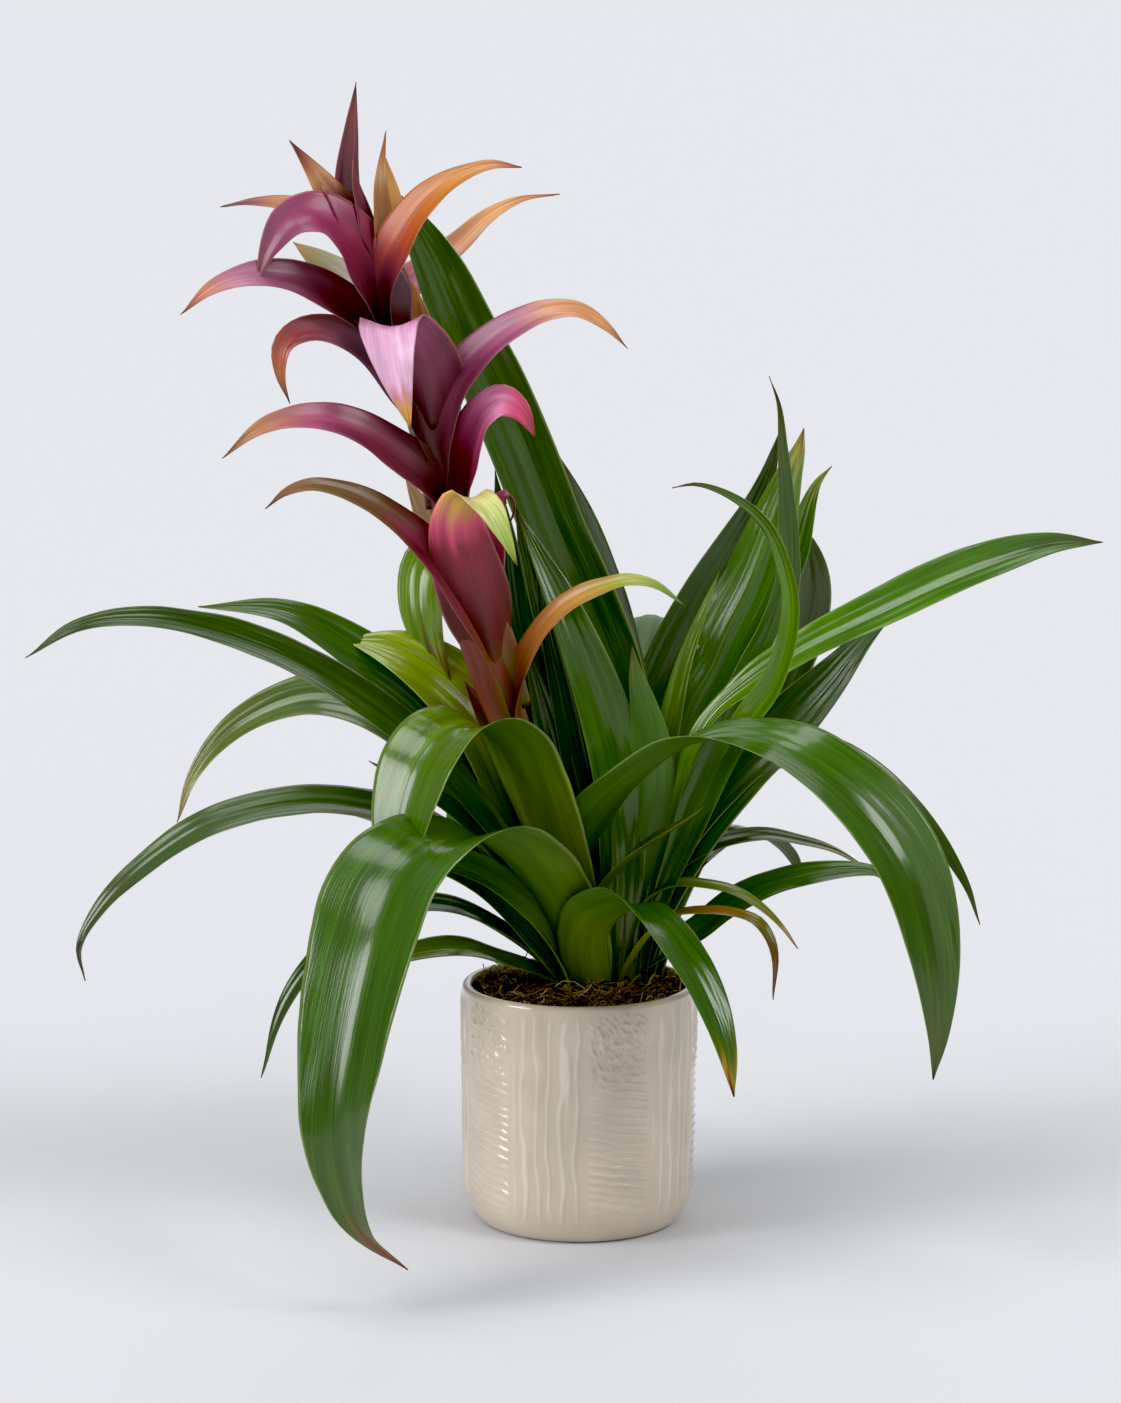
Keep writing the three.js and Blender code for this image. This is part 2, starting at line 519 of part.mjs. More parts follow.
function namedMesh(name, body, colour, roughness) {
  const { vertProperties, triVerts } = body.getMesh();
  const geometry = new THREE.BufferGeometry();
  geometry.setAttribute('position', new THREE.BufferAttribute(new Float32Array(vertProperties), 3));
  geometry.setIndex(new THREE.BufferAttribute(new Uint32Array(triVerts), 1));
  const material = new THREE.MeshStandardMaterial({ color: colour, roughness, metalness: 0 });
  const mesh = new THREE.Mesh(geometry, material);
  mesh.name = name;
  return mesh;
}

// The flower stalk stands in the medium on an upright foot.
function stalkPoints() {
  const above = STALK.map(fromFrontView);
  const heights = [STEM_FOOT, (STEM_FOOT + MEDIUM_TOP) / 2, MEDIUM_TOP];
  return [...heights.map((z) => new THREE.Vector3(above[0].x, above[0].y, z)), ...above];
}

// The stalk and every bract, fused, with the clearance added to each of them.
function flowerSpikeBody(clearance = 0) {
  const radii = [FLOWER_STEM_RADIUS, FLOWER_STEM_RADIUS, FLOWER_STEM_RADIUS, ...STALK_RADII];
  let body = stalkBody(stalkPoints(), radii, clearance);
  for (const { width, turn, seen } of Object.values(BRACTS)) {
    const bract = { points: seen.map(fromFrontView), width, turn: [turn, turn], outline: bractOutline };
    Object.assign(bract, { baseAngle: BRACT_BASE_ANGLE, thickness: BRACT_THICKNESS });
    body = body.add(bladeBody(bract, clearance));
  }
  return body;
}

// The medium, with a plain hole for each stem.
function holedMediumBody() {
  const flowerFoot = stalkPoints()[0];
  const bottom = STEM_FOOT - FIT_GAP;
  return mediumBody()
    .subtract(postBody([flowerFoot.x, flowerFoot.y], FLOWER_STEM_RADIUS + HOLE_GAP, bottom, POT_HEIGHT))
    .subtract(postBody(SIDE_STEM_AT, SIDE_STEM_RADIUS + HOLE_GAP, bottom, POT_HEIGHT));
}

function buildPlant() {
  const plant = new THREE.Group();
  const sideStem = postBody(SIDE_STEM_AT, SIDE_STEM_RADIUS, STEM_FOOT, SIDE_STEM_TOP);
  plant.add(namedMesh('pot', largestPiece(potBody()), COLOURS.glaze, 0.25));
  plant.add(namedMesh('growing_medium', holedMediumBody(), COLOURS.medium, 1));
  plant.add(namedMesh('flower_spike', largestPiece(flowerSpikeBody()), COLOURS.bract, 0.4));
  plant.add(namedMesh('side_stem', sideStem, COLOURS.stem, 0.6));
  const neighbours = [
    mediumBody(FIT_GAP),
    flowerSpikeBody(FIT_GAP),
    postBody(SIDE_STEM_AT, SIDE_STEM_RADIUS + FIT_GAP, STEM_FOOT, SIDE_STEM_TOP + FIT_GAP),
  ];
  const leaves = { ...LEFT_LEAVES, ...RIGHT_LEAVES, ...REAR_LEAVES };
  for (const [name, { width, turn, taper = LEAF_TAPER, seen, at }] of Object.entries(leaves)) {
    const points = seen ? seen.map(fromFrontView) : at.map((p) => new THREE.Vector3(...p));
    const outline = (along) => strapOutline(along, taper);
    const strap = { points, width, turn, outline };
    Object.assign(strap, { baseAngle: LEAF_BASE_ANGLE, thickness: LEAF_THICKNESS });
    const whole = bladeBody(strap);
    const leaf = clearOf(whole, neighbours);
    const mesh = namedMesh(name, leaf, COLOURS.leaf, 0.35);
    mesh.userData.keptShare = leaf.volume() / whole.volume();
    plant.add(mesh);
    neighbours.push(bladeBody(strap, LEAF_CLEARANCE));
  }
  return plant;
}

export default buildPlant();
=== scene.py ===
# A potted guzmania: a glazed ribbed pot filled with coir, a flowering rosette with a spike of
# coloured bracts on the left, and a leafy rosette on the right.
# Metres, +Z up, +Y away from the front. The origin is the middle of the pot's underside.
import math

import bpy
import numpy as np
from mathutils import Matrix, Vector


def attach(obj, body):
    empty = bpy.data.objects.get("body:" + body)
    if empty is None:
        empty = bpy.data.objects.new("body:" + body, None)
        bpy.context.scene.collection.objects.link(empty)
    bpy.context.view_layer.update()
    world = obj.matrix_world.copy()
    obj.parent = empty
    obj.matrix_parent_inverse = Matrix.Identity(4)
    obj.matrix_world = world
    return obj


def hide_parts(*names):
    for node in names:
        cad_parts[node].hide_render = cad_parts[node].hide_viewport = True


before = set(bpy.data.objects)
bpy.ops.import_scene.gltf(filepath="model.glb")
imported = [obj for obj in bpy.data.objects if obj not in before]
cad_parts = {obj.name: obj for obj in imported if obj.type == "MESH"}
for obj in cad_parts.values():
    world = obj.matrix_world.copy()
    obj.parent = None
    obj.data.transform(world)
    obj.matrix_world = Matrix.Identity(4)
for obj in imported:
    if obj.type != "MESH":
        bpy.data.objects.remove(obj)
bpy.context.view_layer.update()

MM = 0.001
FULL_TURN = 2 * math.pi

# The front view that the plant was measured in: a point of a spine is (across, down, back), with
# across and down in steps of the view and back in mm behind the pot's axis.
VIEW_CENTRE = (560.5, 701.5)
VIEW_HEIGHT = 1403
VIEW_STEPS = 4367
VIEW_FROM = np.array((-10.4, -2400.0, 695.0))
VIEW_DIP = math.radians(9.43)
SENSOR = 36.0
FAR_CLIP = 500
# The red, green and blue that are shown as black, so that the shadows stay deep.
BLACK_LEVEL = (0.012, 0.011, 0.020)

# The studio: a floor of pale paper, its reach in metres, and pale surroundings.
FLOOR_REACH = 150
FLOOR_COLOUR = "#d7d8dc"
SKY_COLOUR = "#e6e9f0"
SKY_STRENGTH = 0.3
# Each lamp: the way to it, its strength and how wide it looks in degrees.
LAMPS = {
    "top_lamp": ((-0.1, 0.1, 1.0), 0.6, 28),
    "top_left_lamp": ((-0.5, -0.25, 0.85), 0.65, 24),
    "left_lamp": ((-1.0, -0.55, 0.5), 1.5, 30),
    "right_lamp": ((0.8, -0.5, 0.85), 1.2, 28),
    "rear_lamp": ((0.15, 1.0, 0.6), 0.45, 50),
    "front_lamp": ((0.1, -1.0, 0.5), 0.4, 55),
}

# The pot, in mm. Its foot is rounded up to FOOT_CURVE, and it flares a little up to its rim.
# Inside, the wall ends at CORNER_TOP and the corner runs in to the floor.
POT_HEIGHT = 137
POT_RADIUS = 66
POT_FLARE = 1.5
POT_WALL = 6
POT_FLOOR = 7
CORNER_TOP = 15
CORNER_WIDTH = 6
FOOT_RADIUS = 51
FOOT_INSET = 1.5
FOOT_CURVE = 25.5
# Steps of its section: on a flat stretch, round the foot, up the wall, over the rim and inside.
FLAT_STEPS = 6
FOOT_STEPS = 24
WALL_STEPS = 132
RIM_STEPS = 13
INSIDE_STEPS = 14
POT_STEPS_ROUND = 513

# The pot's relief, in mm: ribbed and hatched panels in turn, the first ribbed one from
# RIB_PANEL_START degrees on. It rises out of the foot between two heights and dies out below the
# rim between two more.
RELIEF_START = (7, 25)
RELIEF_END = (127, 134)
RIB_COUNT = 55
RIB_PANELS = 5
RIB_PANEL_START = 235
RIB_HEIGHT = 1.1
HATCH_PITCH = 4.8
HATCH_HEIGHT = 1.0
FLECK_SIZE = 2.2
FLECK_HEIGHT = 1.2
FLECK_FROM = 84
FLECK_BAND = 20
# The share of a panel that it takes to fade in or out.
PANEL_FADE = 0.05
# How sharp the raised lines are, and how much of a rib's painted highlight hatching and flecks take on.
RIB_SHARPNESS = 5.0
HATCH_SHARPNESS = 2.5
HATCH_HIGHLIGHT_SHARE = 0.6
FLECK_HIGHLIGHT_SHARE = 0.5
# How far the flecks lean and how much they are drawn out.
FLECK_LEAN = 0.6
FLECK_STRETCH = 0.45
# Density, detail and upright stretch of the noise that lines waver by and that hatching fades by.
RIB_NOISE = (95.0, 1.0, 0.25)
HATCH_NOISE = (60.0, 2.0, 0.8)
FADE_NOISE = (70.0, 1.0, 1.0)
LUMP_DETAIL = 4.0

# The filling and the stems, in mm. The filling's middle stands MEDIUM_CROWN above its top, and
# its outer MEDIUM_EDGE of the radius falls away by MEDIUM_FALL to the shoulder at the wall.
MEDIUM_TOP = 128
MEDIUM_SHOULDER = 124
MEDIUM_GAP = 0.3
MEDIUM_CROWN = 4
MEDIUM_EDGE = 0.1
MEDIUM_FALL = 3
# Its lumps reach their full height one part in LUMP_FADE of the radius from the wall.
LUMP_FADE = 12
MEDIUM_STEPS = 70
MEDIUM_STEPS_ROUND = 181
STEM_FOOT = 96
FLOWER_STEM_AT = (-4, -2)
FLOWER_STEM_RADIUS = 9.5
SIDE_STEM_AT = (28, 4)
SIDE_STEM_RADIUS = 11
SIDE_STEM_TOP = 168
STALK_STEPS = 150
SIDE_STEM_STEPS = 40
STEM_STEPS_ROUND = 41
# How unevenly a stem's colours run along it.
STEM_WANDER = 0.05

# Loose strands of coir lie where the filling faces up by more than this, tilted by up to two
# angles in radians, at sizes between two shares of their length.
FACING_UP = 0.4
STRAND_TILT = (0.3, 0.45)
STRAND_SIZES = (0.35, 1.25)
STRAND_SIDES = 4
# How far apart the strands draw their curls from the noise.
STRAND_SPREAD = 40.0

# How a leaf and a bract grow: steps across; thickness and height of the pleats in mm; roundness of
# the channel; height of the margin's waves as a share of the width and their length in mm; the
# channel's angle at the root in degrees; how unevenly the colours run along it.
LEAF_GROWTH = dict(steps=25, thickness=0.9, pleat=0.22, roundness=1.35, wave=0.09, wave_length=45,
                   base_angle=30, wander=0.05)
BRACT_GROWTH = dict(steps=21, thickness=0.8, pleat=0.15, roundness=1.4, wave=0.1, wave_length=30,
                    base_angle=45, wander=0.04)
TIP_WIDTH = 0.5
# A tip's taper: the share of the length where it starts and how full it stays. A leaf's neck: its
# share of the width and of the length. Past its neck a leaf widens twice: by how much of the
# width, from where and up to where.
LEAF_TAPER = (0.45, 2)
LEAF_NECK = (0.5, 0)
LEAF_SWELLS = ((0.44, 0, 0.12), (0.56, 0.1, 0.5))
BRACT_TAPER = (0.25, 1.45)
# A bract's share of the width at its root, and how much it widens up to where.
BRACT_ROOT = 0.8
BRACT_SWELL = (0.2, 0.2)
BRACT_PLEATS = 3
LEAF_PLEAT_WIDTH = 7
# The channel's angle in degrees beyond the clasping root, and the share that clasps.
OPEN_ANGLE = 16
CLASP_SHARE = 0.4
# How fast the thickness dies out towards the margins and towards both ends.
MARGIN_POWER = 6.0
END_POWER = 60.0
# A leaf's root: its height in the coir and how far it is drawn in towards the stem.
ROOT_HEIGHT = 119
ROOT_DRAW = 0.4
# Steps from one point of a spine to the next, and the pitch of its stations and their least and
# greatest count.
TRACE_STEPS = 24
STATION_PITCH = 4
STATION_COUNTS = (36, 92)
# How far the noise moves on from one blade to the next, and how many strips a blade's colours have.
SEED_PITCH = 3.7
TINT_STRIPS = 14

# Skins: length of the veins, width and length of broader streaks in mm, how dark and light the
# streaks are, where the pale margin with its painted rim light begins, how much duller a vein is
# than the skin and how deep.
VEIN_LENGTH = 90
STREAK_WIDTH = 7
STREAK_LENGTH = 70
STREAK_TONES = (0.74, 1.22)
MARGIN_AND_RIM_LIGHT_FROM = 0.93
VEIN_DULLNESS = 0.12
VEIN_DEPTH = 0.25

# Leaves of the flowering rosette: width in mm, turn of the blade towards the front in degrees at
# its root and at its tip, where and how it tapers, and the points of its spine. Some have a neck
# or a fold, the angle of the open channel, of their own.
LEFT_LEAVES = {
    "leaf_left_01": dict(width=74, turn=(0, 0), taper=(0.5, 1.8), seen=[
        (572, 975, -12), (551, 908, -32), (514, 858, -65), (476, 838, -98), (430, 850, -125),
        (395, 885, -142), (372, 945, -160), (351, 1037, -175), (339, 1130, -185),
        (346, 1190, -188), (364, 1232, -190), (408, 1270, -185)]),
    "leaf_left_02": dict(width=60, turn=(0, 0), taper=(0.7, 2), seen=[
        (570, 965, -10), (557, 880, -22), (539, 825, -34), (521, 778, -47), (503, 742, -60),
        (478, 728, -71), (449, 738, -80), (427, 765, -87), (413, 800, -92), (403, 850, -96),
        (398, 920, -98)]),
    "leaf_left_03": dict(width=40, turn=(20, 30), seen=[
        (563, 975, 0), (505, 855, -8), (430, 762, -18), (344, 694, -28), (258, 648, -35),
        (155, 622, -40), (80, 627, -42), (25, 658, -45)]),
    "leaf_left_04": dict(width=40, turn=(30, 40), seen=[
        (565, 965, 5), (505, 825, 14), (430, 708, 25), (355, 652, 35), (284, 613, 45),
        (198, 607, 55)]),
    "leaf_left_05": dict(width=38, turn=(14, 20), seen=[
        (558, 975, -3), (500, 890, -15), (440, 838, -25), (390, 818, -32), (310, 807, -42),
        (215, 826, -55), (150, 865, -62), (104, 908, -66), (80, 948, -68), (85, 981, -68)]),
    "leaf_left_06": dict(width=36, turn=(30, 60), seen=[
        (562, 970, 12), (500, 850, 28), (430, 750, 48), (380, 712, 60), (330, 697, 70),
        (290, 701, 75), (232, 731, 75), (195, 775, 70), (177, 823, 62)]),
    "leaf_left_07": dict(width=44, turn=(42, 46), taper=(0.7, 2), seen=[
        (568, 960, 12), (535, 850, 18), (500, 760, 20), (475, 715, 22), (447, 685, 24),
        (415, 661, 28), (385, 648, 34), (345, 640, 42)]),
    "leaf_left_08": dict(width=34, turn=(50, 80), taper=(0.8, 2), seen=[
        (572, 950, 15), (545, 820, 30), (510, 690, 42), (475, 595, 50), (447, 556, 48),
        (430, 566, 42), (425, 600, 36), (433, 645, 30), (452, 690, 26)]),
    "leaf_left_09": dict(width=26, turn=(15, 15), seen=[
        (555, 980, -5), (500, 932, -18), (445, 908, -28), (380, 915, -38), (325, 955, -45),
        (285, 1008, -50), (261, 1078, -53)]),
    "leaf_left_10": dict(width=26, turn=(40, 25), seen=[
        (560, 965, -6), (505, 868, -14), (455, 815, -22), (410, 785, -30), (369, 761, -36)]),
    "leaf_left_11": dict(width=28, turn=(15, 15), seen=[
        (552, 985, -14), (500, 962, -30), (465, 952, -42), (430, 953, -52), (385, 965, -60),
        (345, 988, -66)]),
    "leaf_left_12": dict(width=34, turn=(45, 30), seen=[
        (565, 975, -14), (532, 917, -30), (497, 886, -42), (461, 867, -52), (420, 862, -60),
        (380, 875, -68)]),
    "leaf_left_13": dict(width=32, turn=(45, 30), seen=[
        (560, 982, -10), (522, 928, -20), (480, 888, -28), (440, 868, -36), (400, 862, -42)]),
    "leaf_left_14": dict(width=34, turn=(70, 75), seen=[
        (590, 950, 8), (562, 850, 14), (535, 720, 18), (513, 620, 20), (505, 540, 20),
        (495, 470, 20)]),
    "leaf_left_15": dict(width=24, turn=(60, 70), seen=[
        (578, 955, 2), (568, 860, 2), (556, 770, 2), (541, 705, 2), (524, 640, 3)]),
}

# Leaves of the leafy rosette.
RIGHT_LEAVES = {
    "leaf_right_01": dict(width=40, turn=(-35, 0), seen=[
        (590, 985, -20), (583, 945, -30), (590, 922, -40), (608, 909, -52), (632, 905, -65),
        (657, 926, -80), (681, 958, -92), (705, 998, -102), (724, 1045, -110),
        (734, 1097, -115)]),
    "leaf_right_02": dict(width=50, turn=(-40, 55), taper=(0.6, 2), seen=[
        (588, 970, -8), (577, 900, -15), (592, 830, -30), (640, 777, -50), (700, 742, -70),
        (775, 748, -90), (850, 795, -105), (905, 862, -115), (932, 950, -122),
        (938, 1030, -126), (933, 1080, -128)]),
    "leaf_right_03": dict(width=34, turn=(45, 55), taper=(0.65, 2.5), neck=(0.34, 0.42), seen=[
        (640, 945, -4), (662, 850, -10), (690, 755, -16), (713, 714, -18), (750, 683, -21),
        (800, 651, -24), (882, 610, -30), (975, 568, -36), (1050, 545, -40), (1103, 542, -42)]),
    "leaf_right_04": dict(width=20, turn=(70, 80), taper=(0.5, 1.4), seen=[
        (645, 945, 10), (685, 820, 16), (731, 720, 18), (753, 670, 18), (773, 630, 18),
        (787, 585, 18), (789, 540, 18), (786, 490, 18), (783, 449, 18), (779, 405, 18),
        (769, 376, 16)]),
    "leaf_right_05": dict(width=42, turn=(60, 60), taper=(0.6, 2.2), fold=-20, seen=[
        (640, 945, 16), (655, 800, 30), (688, 705, 36), (710, 666, 38), (726, 630, 38),
        (750, 582, 38), (773, 520, 38), (788, 475, 38), (798, 450, 38), (804, 428, 38)]),
    "leaf_right_06": dict(width=27, turn=(62, 62), taper=(0.6, 2), seen=[
        (645, 940, 20), (675, 780, 50), (708, 705, 58), (745, 640, 62), (775, 590, 62),
        (795, 550, 62), (804, 520, 62), (810, 500, 62), (818, 482, 61), (832, 466, 60)]),
    "leaf_right_07": dict(width=18, turn=(75, 75), taper=(0.5, 2), seen=[
        (650, 940, -6), (700, 820, -32), (747, 722, -50), (773, 686, -57), (789, 643, -59),
        (793, 602, -58), (785, 562, -55), (772, 531, -53), (750, 507, -52), (720, 490, -52),
        (695, 484, -53), (672, 488, -54)]),
    "leaf_right_08": dict(width=34, turn=(70, 80), taper=(0.75, 3), seen=[
        (652, 935, 22), (725, 760, 60), (780, 670, 72), (802, 610, 76), (806, 575, 76),
        (803, 545, 76), (797, 522, 76)]),
    "leaf_right_09": dict(width=42, turn=(50, 50), fold=8, seen=[
        (640, 950, 12), (665, 880, 14), (702, 812, 18), (742, 765, 22), (790, 722, 26),
        (828, 682, 28), (862, 642, 30), (895, 612, 30)]),
    "leaf_right_10": dict(width=26, turn=(40, 50), seen=[
        (652, 940, 10), (680, 850, 15), (725, 790, 20), (765, 757, 24), (830, 757, 28),
        (880, 783, 30), (930, 832, 32), (965, 885, 34), (980, 925, 34)]),
    "leaf_right_11": dict(width=28, turn=(62, 62), taper=(0.6, 2), seen=[
        (635, 945, 22), (642, 800, 42), (652, 712, 46), (668, 664, 48), (702, 598, 50),
        (736, 541, 50), (756, 505, 50), (768, 475, 50), (775, 450, 50), (780, 430, 50)]),
    "leaf_right_12": dict(width=16, turn=(60, 60), seen=[
        (640, 950, 2), (652, 820, 4), (668, 735, 6), (684, 665, 8), (708, 600, 10), (720, 570, 10)]),
    "leaf_right_13": dict(width=32, turn=(-45, -45), seen=[
        (620, 960, 0), (632, 880, -8), (648, 800, -14), (650, 745, -17), (643, 705, -18),
        (636, 675, -18), (632, 645, -17)]),
    "leaf_right_14": dict(width=26, turn=(10, 10), seen=[
        (632, 975, 8), (650, 905, 12), (680, 867, 15), (707, 850, 18), (761, 838, 22),
        (800, 843, 26), (838, 853, 30), (880, 878, 32)]),
    "leaf_right_15": dict(width=34, turn=(20, 20), seen=[
        (636, 978, 5), (665, 955, 5), (700, 935, 5), (735, 908, 3), (780, 887, 0),
        (830, 875, -5), (870, 872, -8), (905, 882, -10)]),
    "leaf_right_16": dict(width=15, turn=(10, 10), seen=[
        (628, 975, -4), (645, 905, -12), (674, 886, -18), (704, 886, -24), (735, 893, -30),
        (762, 909, -36), (784, 930, -42), (798, 949, -45)]),
    "leaf_right_17": dict(width=14, turn=(10, 10), seen=[
        (625, 980, -8), (650, 935, -18), (674, 916, -26), (702, 912, -34), (732, 914, -42),
        (756, 922, -50), (768, 937, -54), (774, 957, -57), (773, 1000, -60)]),
    "leaf_right_18": dict(width=30, turn=(20, 20), seen=[
        (603, 968, -14), (603, 900, -24), (625, 866, -32), (655, 841, -38), (683, 823, -42),
        (705, 806, -45)]),
    "leaf_right_19": dict(width=38, turn=(70, 80), taper=(0.6, 5), seen=[
        (612, 950, 14), (628, 800, 26), (618, 690, 32), (581, 590, 38), (556, 535, 40),
        (523, 450, 42), (494, 383, 43), (466, 328, 44), (438, 265, 44), (397, 192, 44)]),
    "leaf_right_20": dict(width=36, turn=(70, 75), taper=(0.6, 3), seen=[
        (618, 945, 20), (632, 780, 44), (628, 680, 54), (606, 590, 60), (584, 520, 62),
        (558, 455, 62)]),
    "leaf_right_21": dict(width=28, turn=(65, 70), seen=[
        (600, 945, 10), (586, 830, 16), (566, 715, 20), (546, 630, 24), (530, 570, 26),
        (515, 505, 28)]),
    "leaf_right_22": dict(width=32, turn=(65, 70), seen=[
        (618, 955, -5), (621, 860, -10), (618, 775, -12), (603, 712, -10), (583, 655, -6),
        (560, 600, 0), (537, 552, 6), (516, 508, 10)]),
    "leaf_right_23": dict(width=26, turn=(65, 70), seen=[
        (608, 950, 2), (592, 820, 4), (570, 710, 6), (548, 620, 8), (535, 560, 10)]),
    "leaf_right_24": dict(width=30, turn=(65, 70), seen=[
        (600, 945, 22), (575, 840, 35), (556, 760, 42), (553, 700, 46), (558, 650, 50),
        (565, 610, 52)]),
}

# Leaves at the back, with their spine points in mm as (x, y, z).
REAR_LEAVES = {
    "leaf_rear_01": dict(width=36, turn=(180, 180), at=[
        (22, 14, 150), (30, 55, 250), (36, 95, 305), (42, 135, 325), (46, 170, 310),
        (50, 200, 270), (52, 218, 215)]),
    "leaf_rear_02": dict(width=36, turn=(0, 0), at=[
        (20, 12, 140), (25, 60, 215), (25, 120, 245), (20, 185, 225), (15, 240, 165)]),
    "leaf_rear_03": dict(width=38, turn=(0, 0), at=[
        (25, 12, 140), (55, 60, 220), (95, 120, 255), (135, 180, 235), (165, 225, 180)]),
    "leaf_rear_04": dict(width=36, turn=(0, 0), at=[
        (-12, 10, 140), (-25, 60, 215), (-45, 115, 240), (-65, 165, 215), (-80, 205, 160)]),
    "leaf_rear_05": dict(width=34, turn=(0, 0), at=[
        (5, 14, 138), (8, 60, 180), (5, 110, 190), (0, 155, 165), (-5, 190, 120)]),
    "leaf_rear_06": dict(width=32, turn=(0, 0), at=[
        (28, 10, 140), (60, 45, 190), (95, 80, 205), (120, 110, 190), (135, 130, 165)]),
    "leaf_rear_07": dict(width=34, turn=(20, 20), at=[
        (-14, 6, 140), (-60, 25, 195), (-110, 50, 222), (-165, 75, 224), (-215, 95, 202)]),
}

# The flower stalk, from the coir to the top, and the radii along it.
STALK = [
    (572, 955, -2), (550, 850, -6), (520, 760, -10), (497, 690, -12), (478, 630, -14),
    (462, 560, -16), (445, 490, -18), (422, 410, -20), (400, 340, -21), (375, 280, -22),
    (352, 225, -23)]
STALK_RADII = [FLOWER_STEM_RADIUS, 10.5, 11.5, 12, 12, 11.5, 11, 10, 8.5, 7, 4]

# Bracts, from the top of the spike to its foot.
BRACTS = {
    "top_upright": dict(width=15, turn=(45, 45), seen=[
        (352, 235, -23), (347, 180, -22), (351, 130, -21), (356, 82, -20)]),
    "top_front": dict(width=17, turn=(45, 45), seen=[
        (372, 262, -26), (362, 215, -29), (355, 185, -29), (353, 159, -28)]),
    "top_dried": dict(width=25, turn=(60, 45), seen=[
        (352, 238, -26), (334, 205, -30), (313, 175, -32), (289, 140, -34)]),
    "top_dried_short": dict(width=18, turn=(50, 50), seen=[
        (352, 245, -30), (340, 217, -36), (329, 197, -38), (321, 183, -39)]),
    "top_left": dict(width=20, turn=(35, 30), seen=[
        (358, 250, -18), (325, 218, -12), (290, 206, -6), (250, 203, 0), (220, 207, 4)]),
    "broad_left": dict(width=48, turn=(62, 35), seen=[
        (380, 335, -30), (366, 280, -38), (344, 236, -44), (320, 217, -48), (293, 221, -52),
        (272, 248, -55), (257, 283, -57)]),
    "upper_right": dict(width=34, turn=(60, 45), seen=[
        (392, 332, -30), (386, 285, -36), (400, 243, -40), (424, 205, -42), (455, 180, -44),
        (490, 166, -45), (522, 167, -46)]),
    "top_right": dict(width=19, turn=(55, 55), seen=[
        (386, 285, -24), (381, 230, -25), (379, 180, -25), (386, 130, -24)]),
    "top_right_rear": dict(width=19, turn=(55, 55), seen=[
        (394, 280, -12), (397, 230, -8), (393, 190, -6), (386, 158, -5)]),
    "rear_right": dict(width=23, turn=(35, 35), seen=[
        (388, 306, -12), (396, 296, 20), (410, 282, 56), (432, 264, 72), (456, 246, 74),
        (489, 216, 74), (521, 200, 74), (560, 194, 74)]),
    "upper_left": dict(width=29, turn=(55, 45), seen=[
        (378, 345, -30), (350, 315, -38), (320, 292, -46), (290, 279, -52), (255, 276, -58),
        (215, 287, -64), (180, 315, -68)]),
    "pale_rear": dict(width=28, turn=(60, 60), seen=[
        (372, 325, -10), (345, 285, 2), (320, 262, 10), (293, 242, 18)]),
    "curled_left": dict(width=32, turn=(60, 45), seen=[
        (425, 455, -22), (402, 405, -30), (375, 362, -38), (343, 337, -46), (307, 331, -52),
        (284, 345, -56), (281, 375, -58), (290, 404, -60)]),
    "folded_front": dict(width=48, turn=(0, 0), seen=[
        (432, 430, -30), (424, 385, -40), (408, 345, -50), (391, 327, -60), (392, 345, -70),
        (400, 385, -76), (411, 430, -78)]),
    "middle_right": dict(width=34, turn=(62, 45), seen=[
        (450, 508, -24), (444, 430, -32), (457, 384, -36), (483, 352, -40), (514, 328, -43),
        (546, 313, -46), (578, 311, -48), (604, 325, -50), (628, 349, -51)]),
    "curled_right": dict(width=42, turn=(62, 66), seen=[
        (468, 525, -26), (468, 470, -34), (475, 436, -38), (487, 412, -42), (504, 402, -45),
        (521, 411, -48), (536, 438, -50)]),
    "rear_middle": dict(width=26, turn=(60, 60), seen=[
        (450, 440, -8), (446, 385, 2), (436, 330, 8)]),
    "rear_upper": dict(width=20, turn=(55, 55), seen=[
        (425, 380, -6), (422, 320, 4), (412, 280, 8)]),
    "middle_left": dict(width=34, turn=(55, 42), seen=[
        (460, 540, -24), (430, 488, -34), (395, 455, -42), (361, 432, -50), (329, 421, -56),
        (297, 419, -62), (262, 428, -68), (222, 459, -74)]),
    "lower_left": dict(width=37, turn=(55, 42), seen=[
        (507, 715, -18), (485, 650, -26), (455, 590, -34), (425, 550, -42), (390, 518, -48),
        (350, 495, -54), (313, 486, -60), (285, 493, -64), (265, 509, -67)]),
    "lower_front": dict(width=44, turn=(0, 0), seen=[
        (497, 672, -22), (478, 605, -36), (463, 555, -46), (458, 520, -54), (468, 498, -62),
        (488, 508, -70), (504, 535, -74), (517, 566, -76)]),
    "small_curl": dict(width=20, turn=(35, 35), seen=[
        (490, 610, -6), (492, 545, 2), (498, 505, 6), (508, 495, 6), (514, 508, 4),
        (509, 525, 0)]),
    "lower_rear": dict(width=22, turn=(50, 50), seen=[
        (450, 575, -8), (428, 520, 4), (405, 477, 10)]),
    "foot_right": dict(width=24, turn=(50, 45), seen=[
        (525, 745, -14), (520, 700, -20), (530, 655, -26), (550, 622, -31), (576, 600, -36),
        (603, 588, -41), (628, 581, -46), (655, 585, -50), (686, 607, -54)]),
    "foot_rear": dict(width=26, turn=(50, 50), seen=[
        (508, 720, -8), (500, 660, -2), (490, 600, 2), (480, 560, 4)]),
    "foot_left": dict(width=20, turn=(50, 50), seen=[
        (506, 756, -14), (482, 714, -16), (463, 680, -16)]),
}

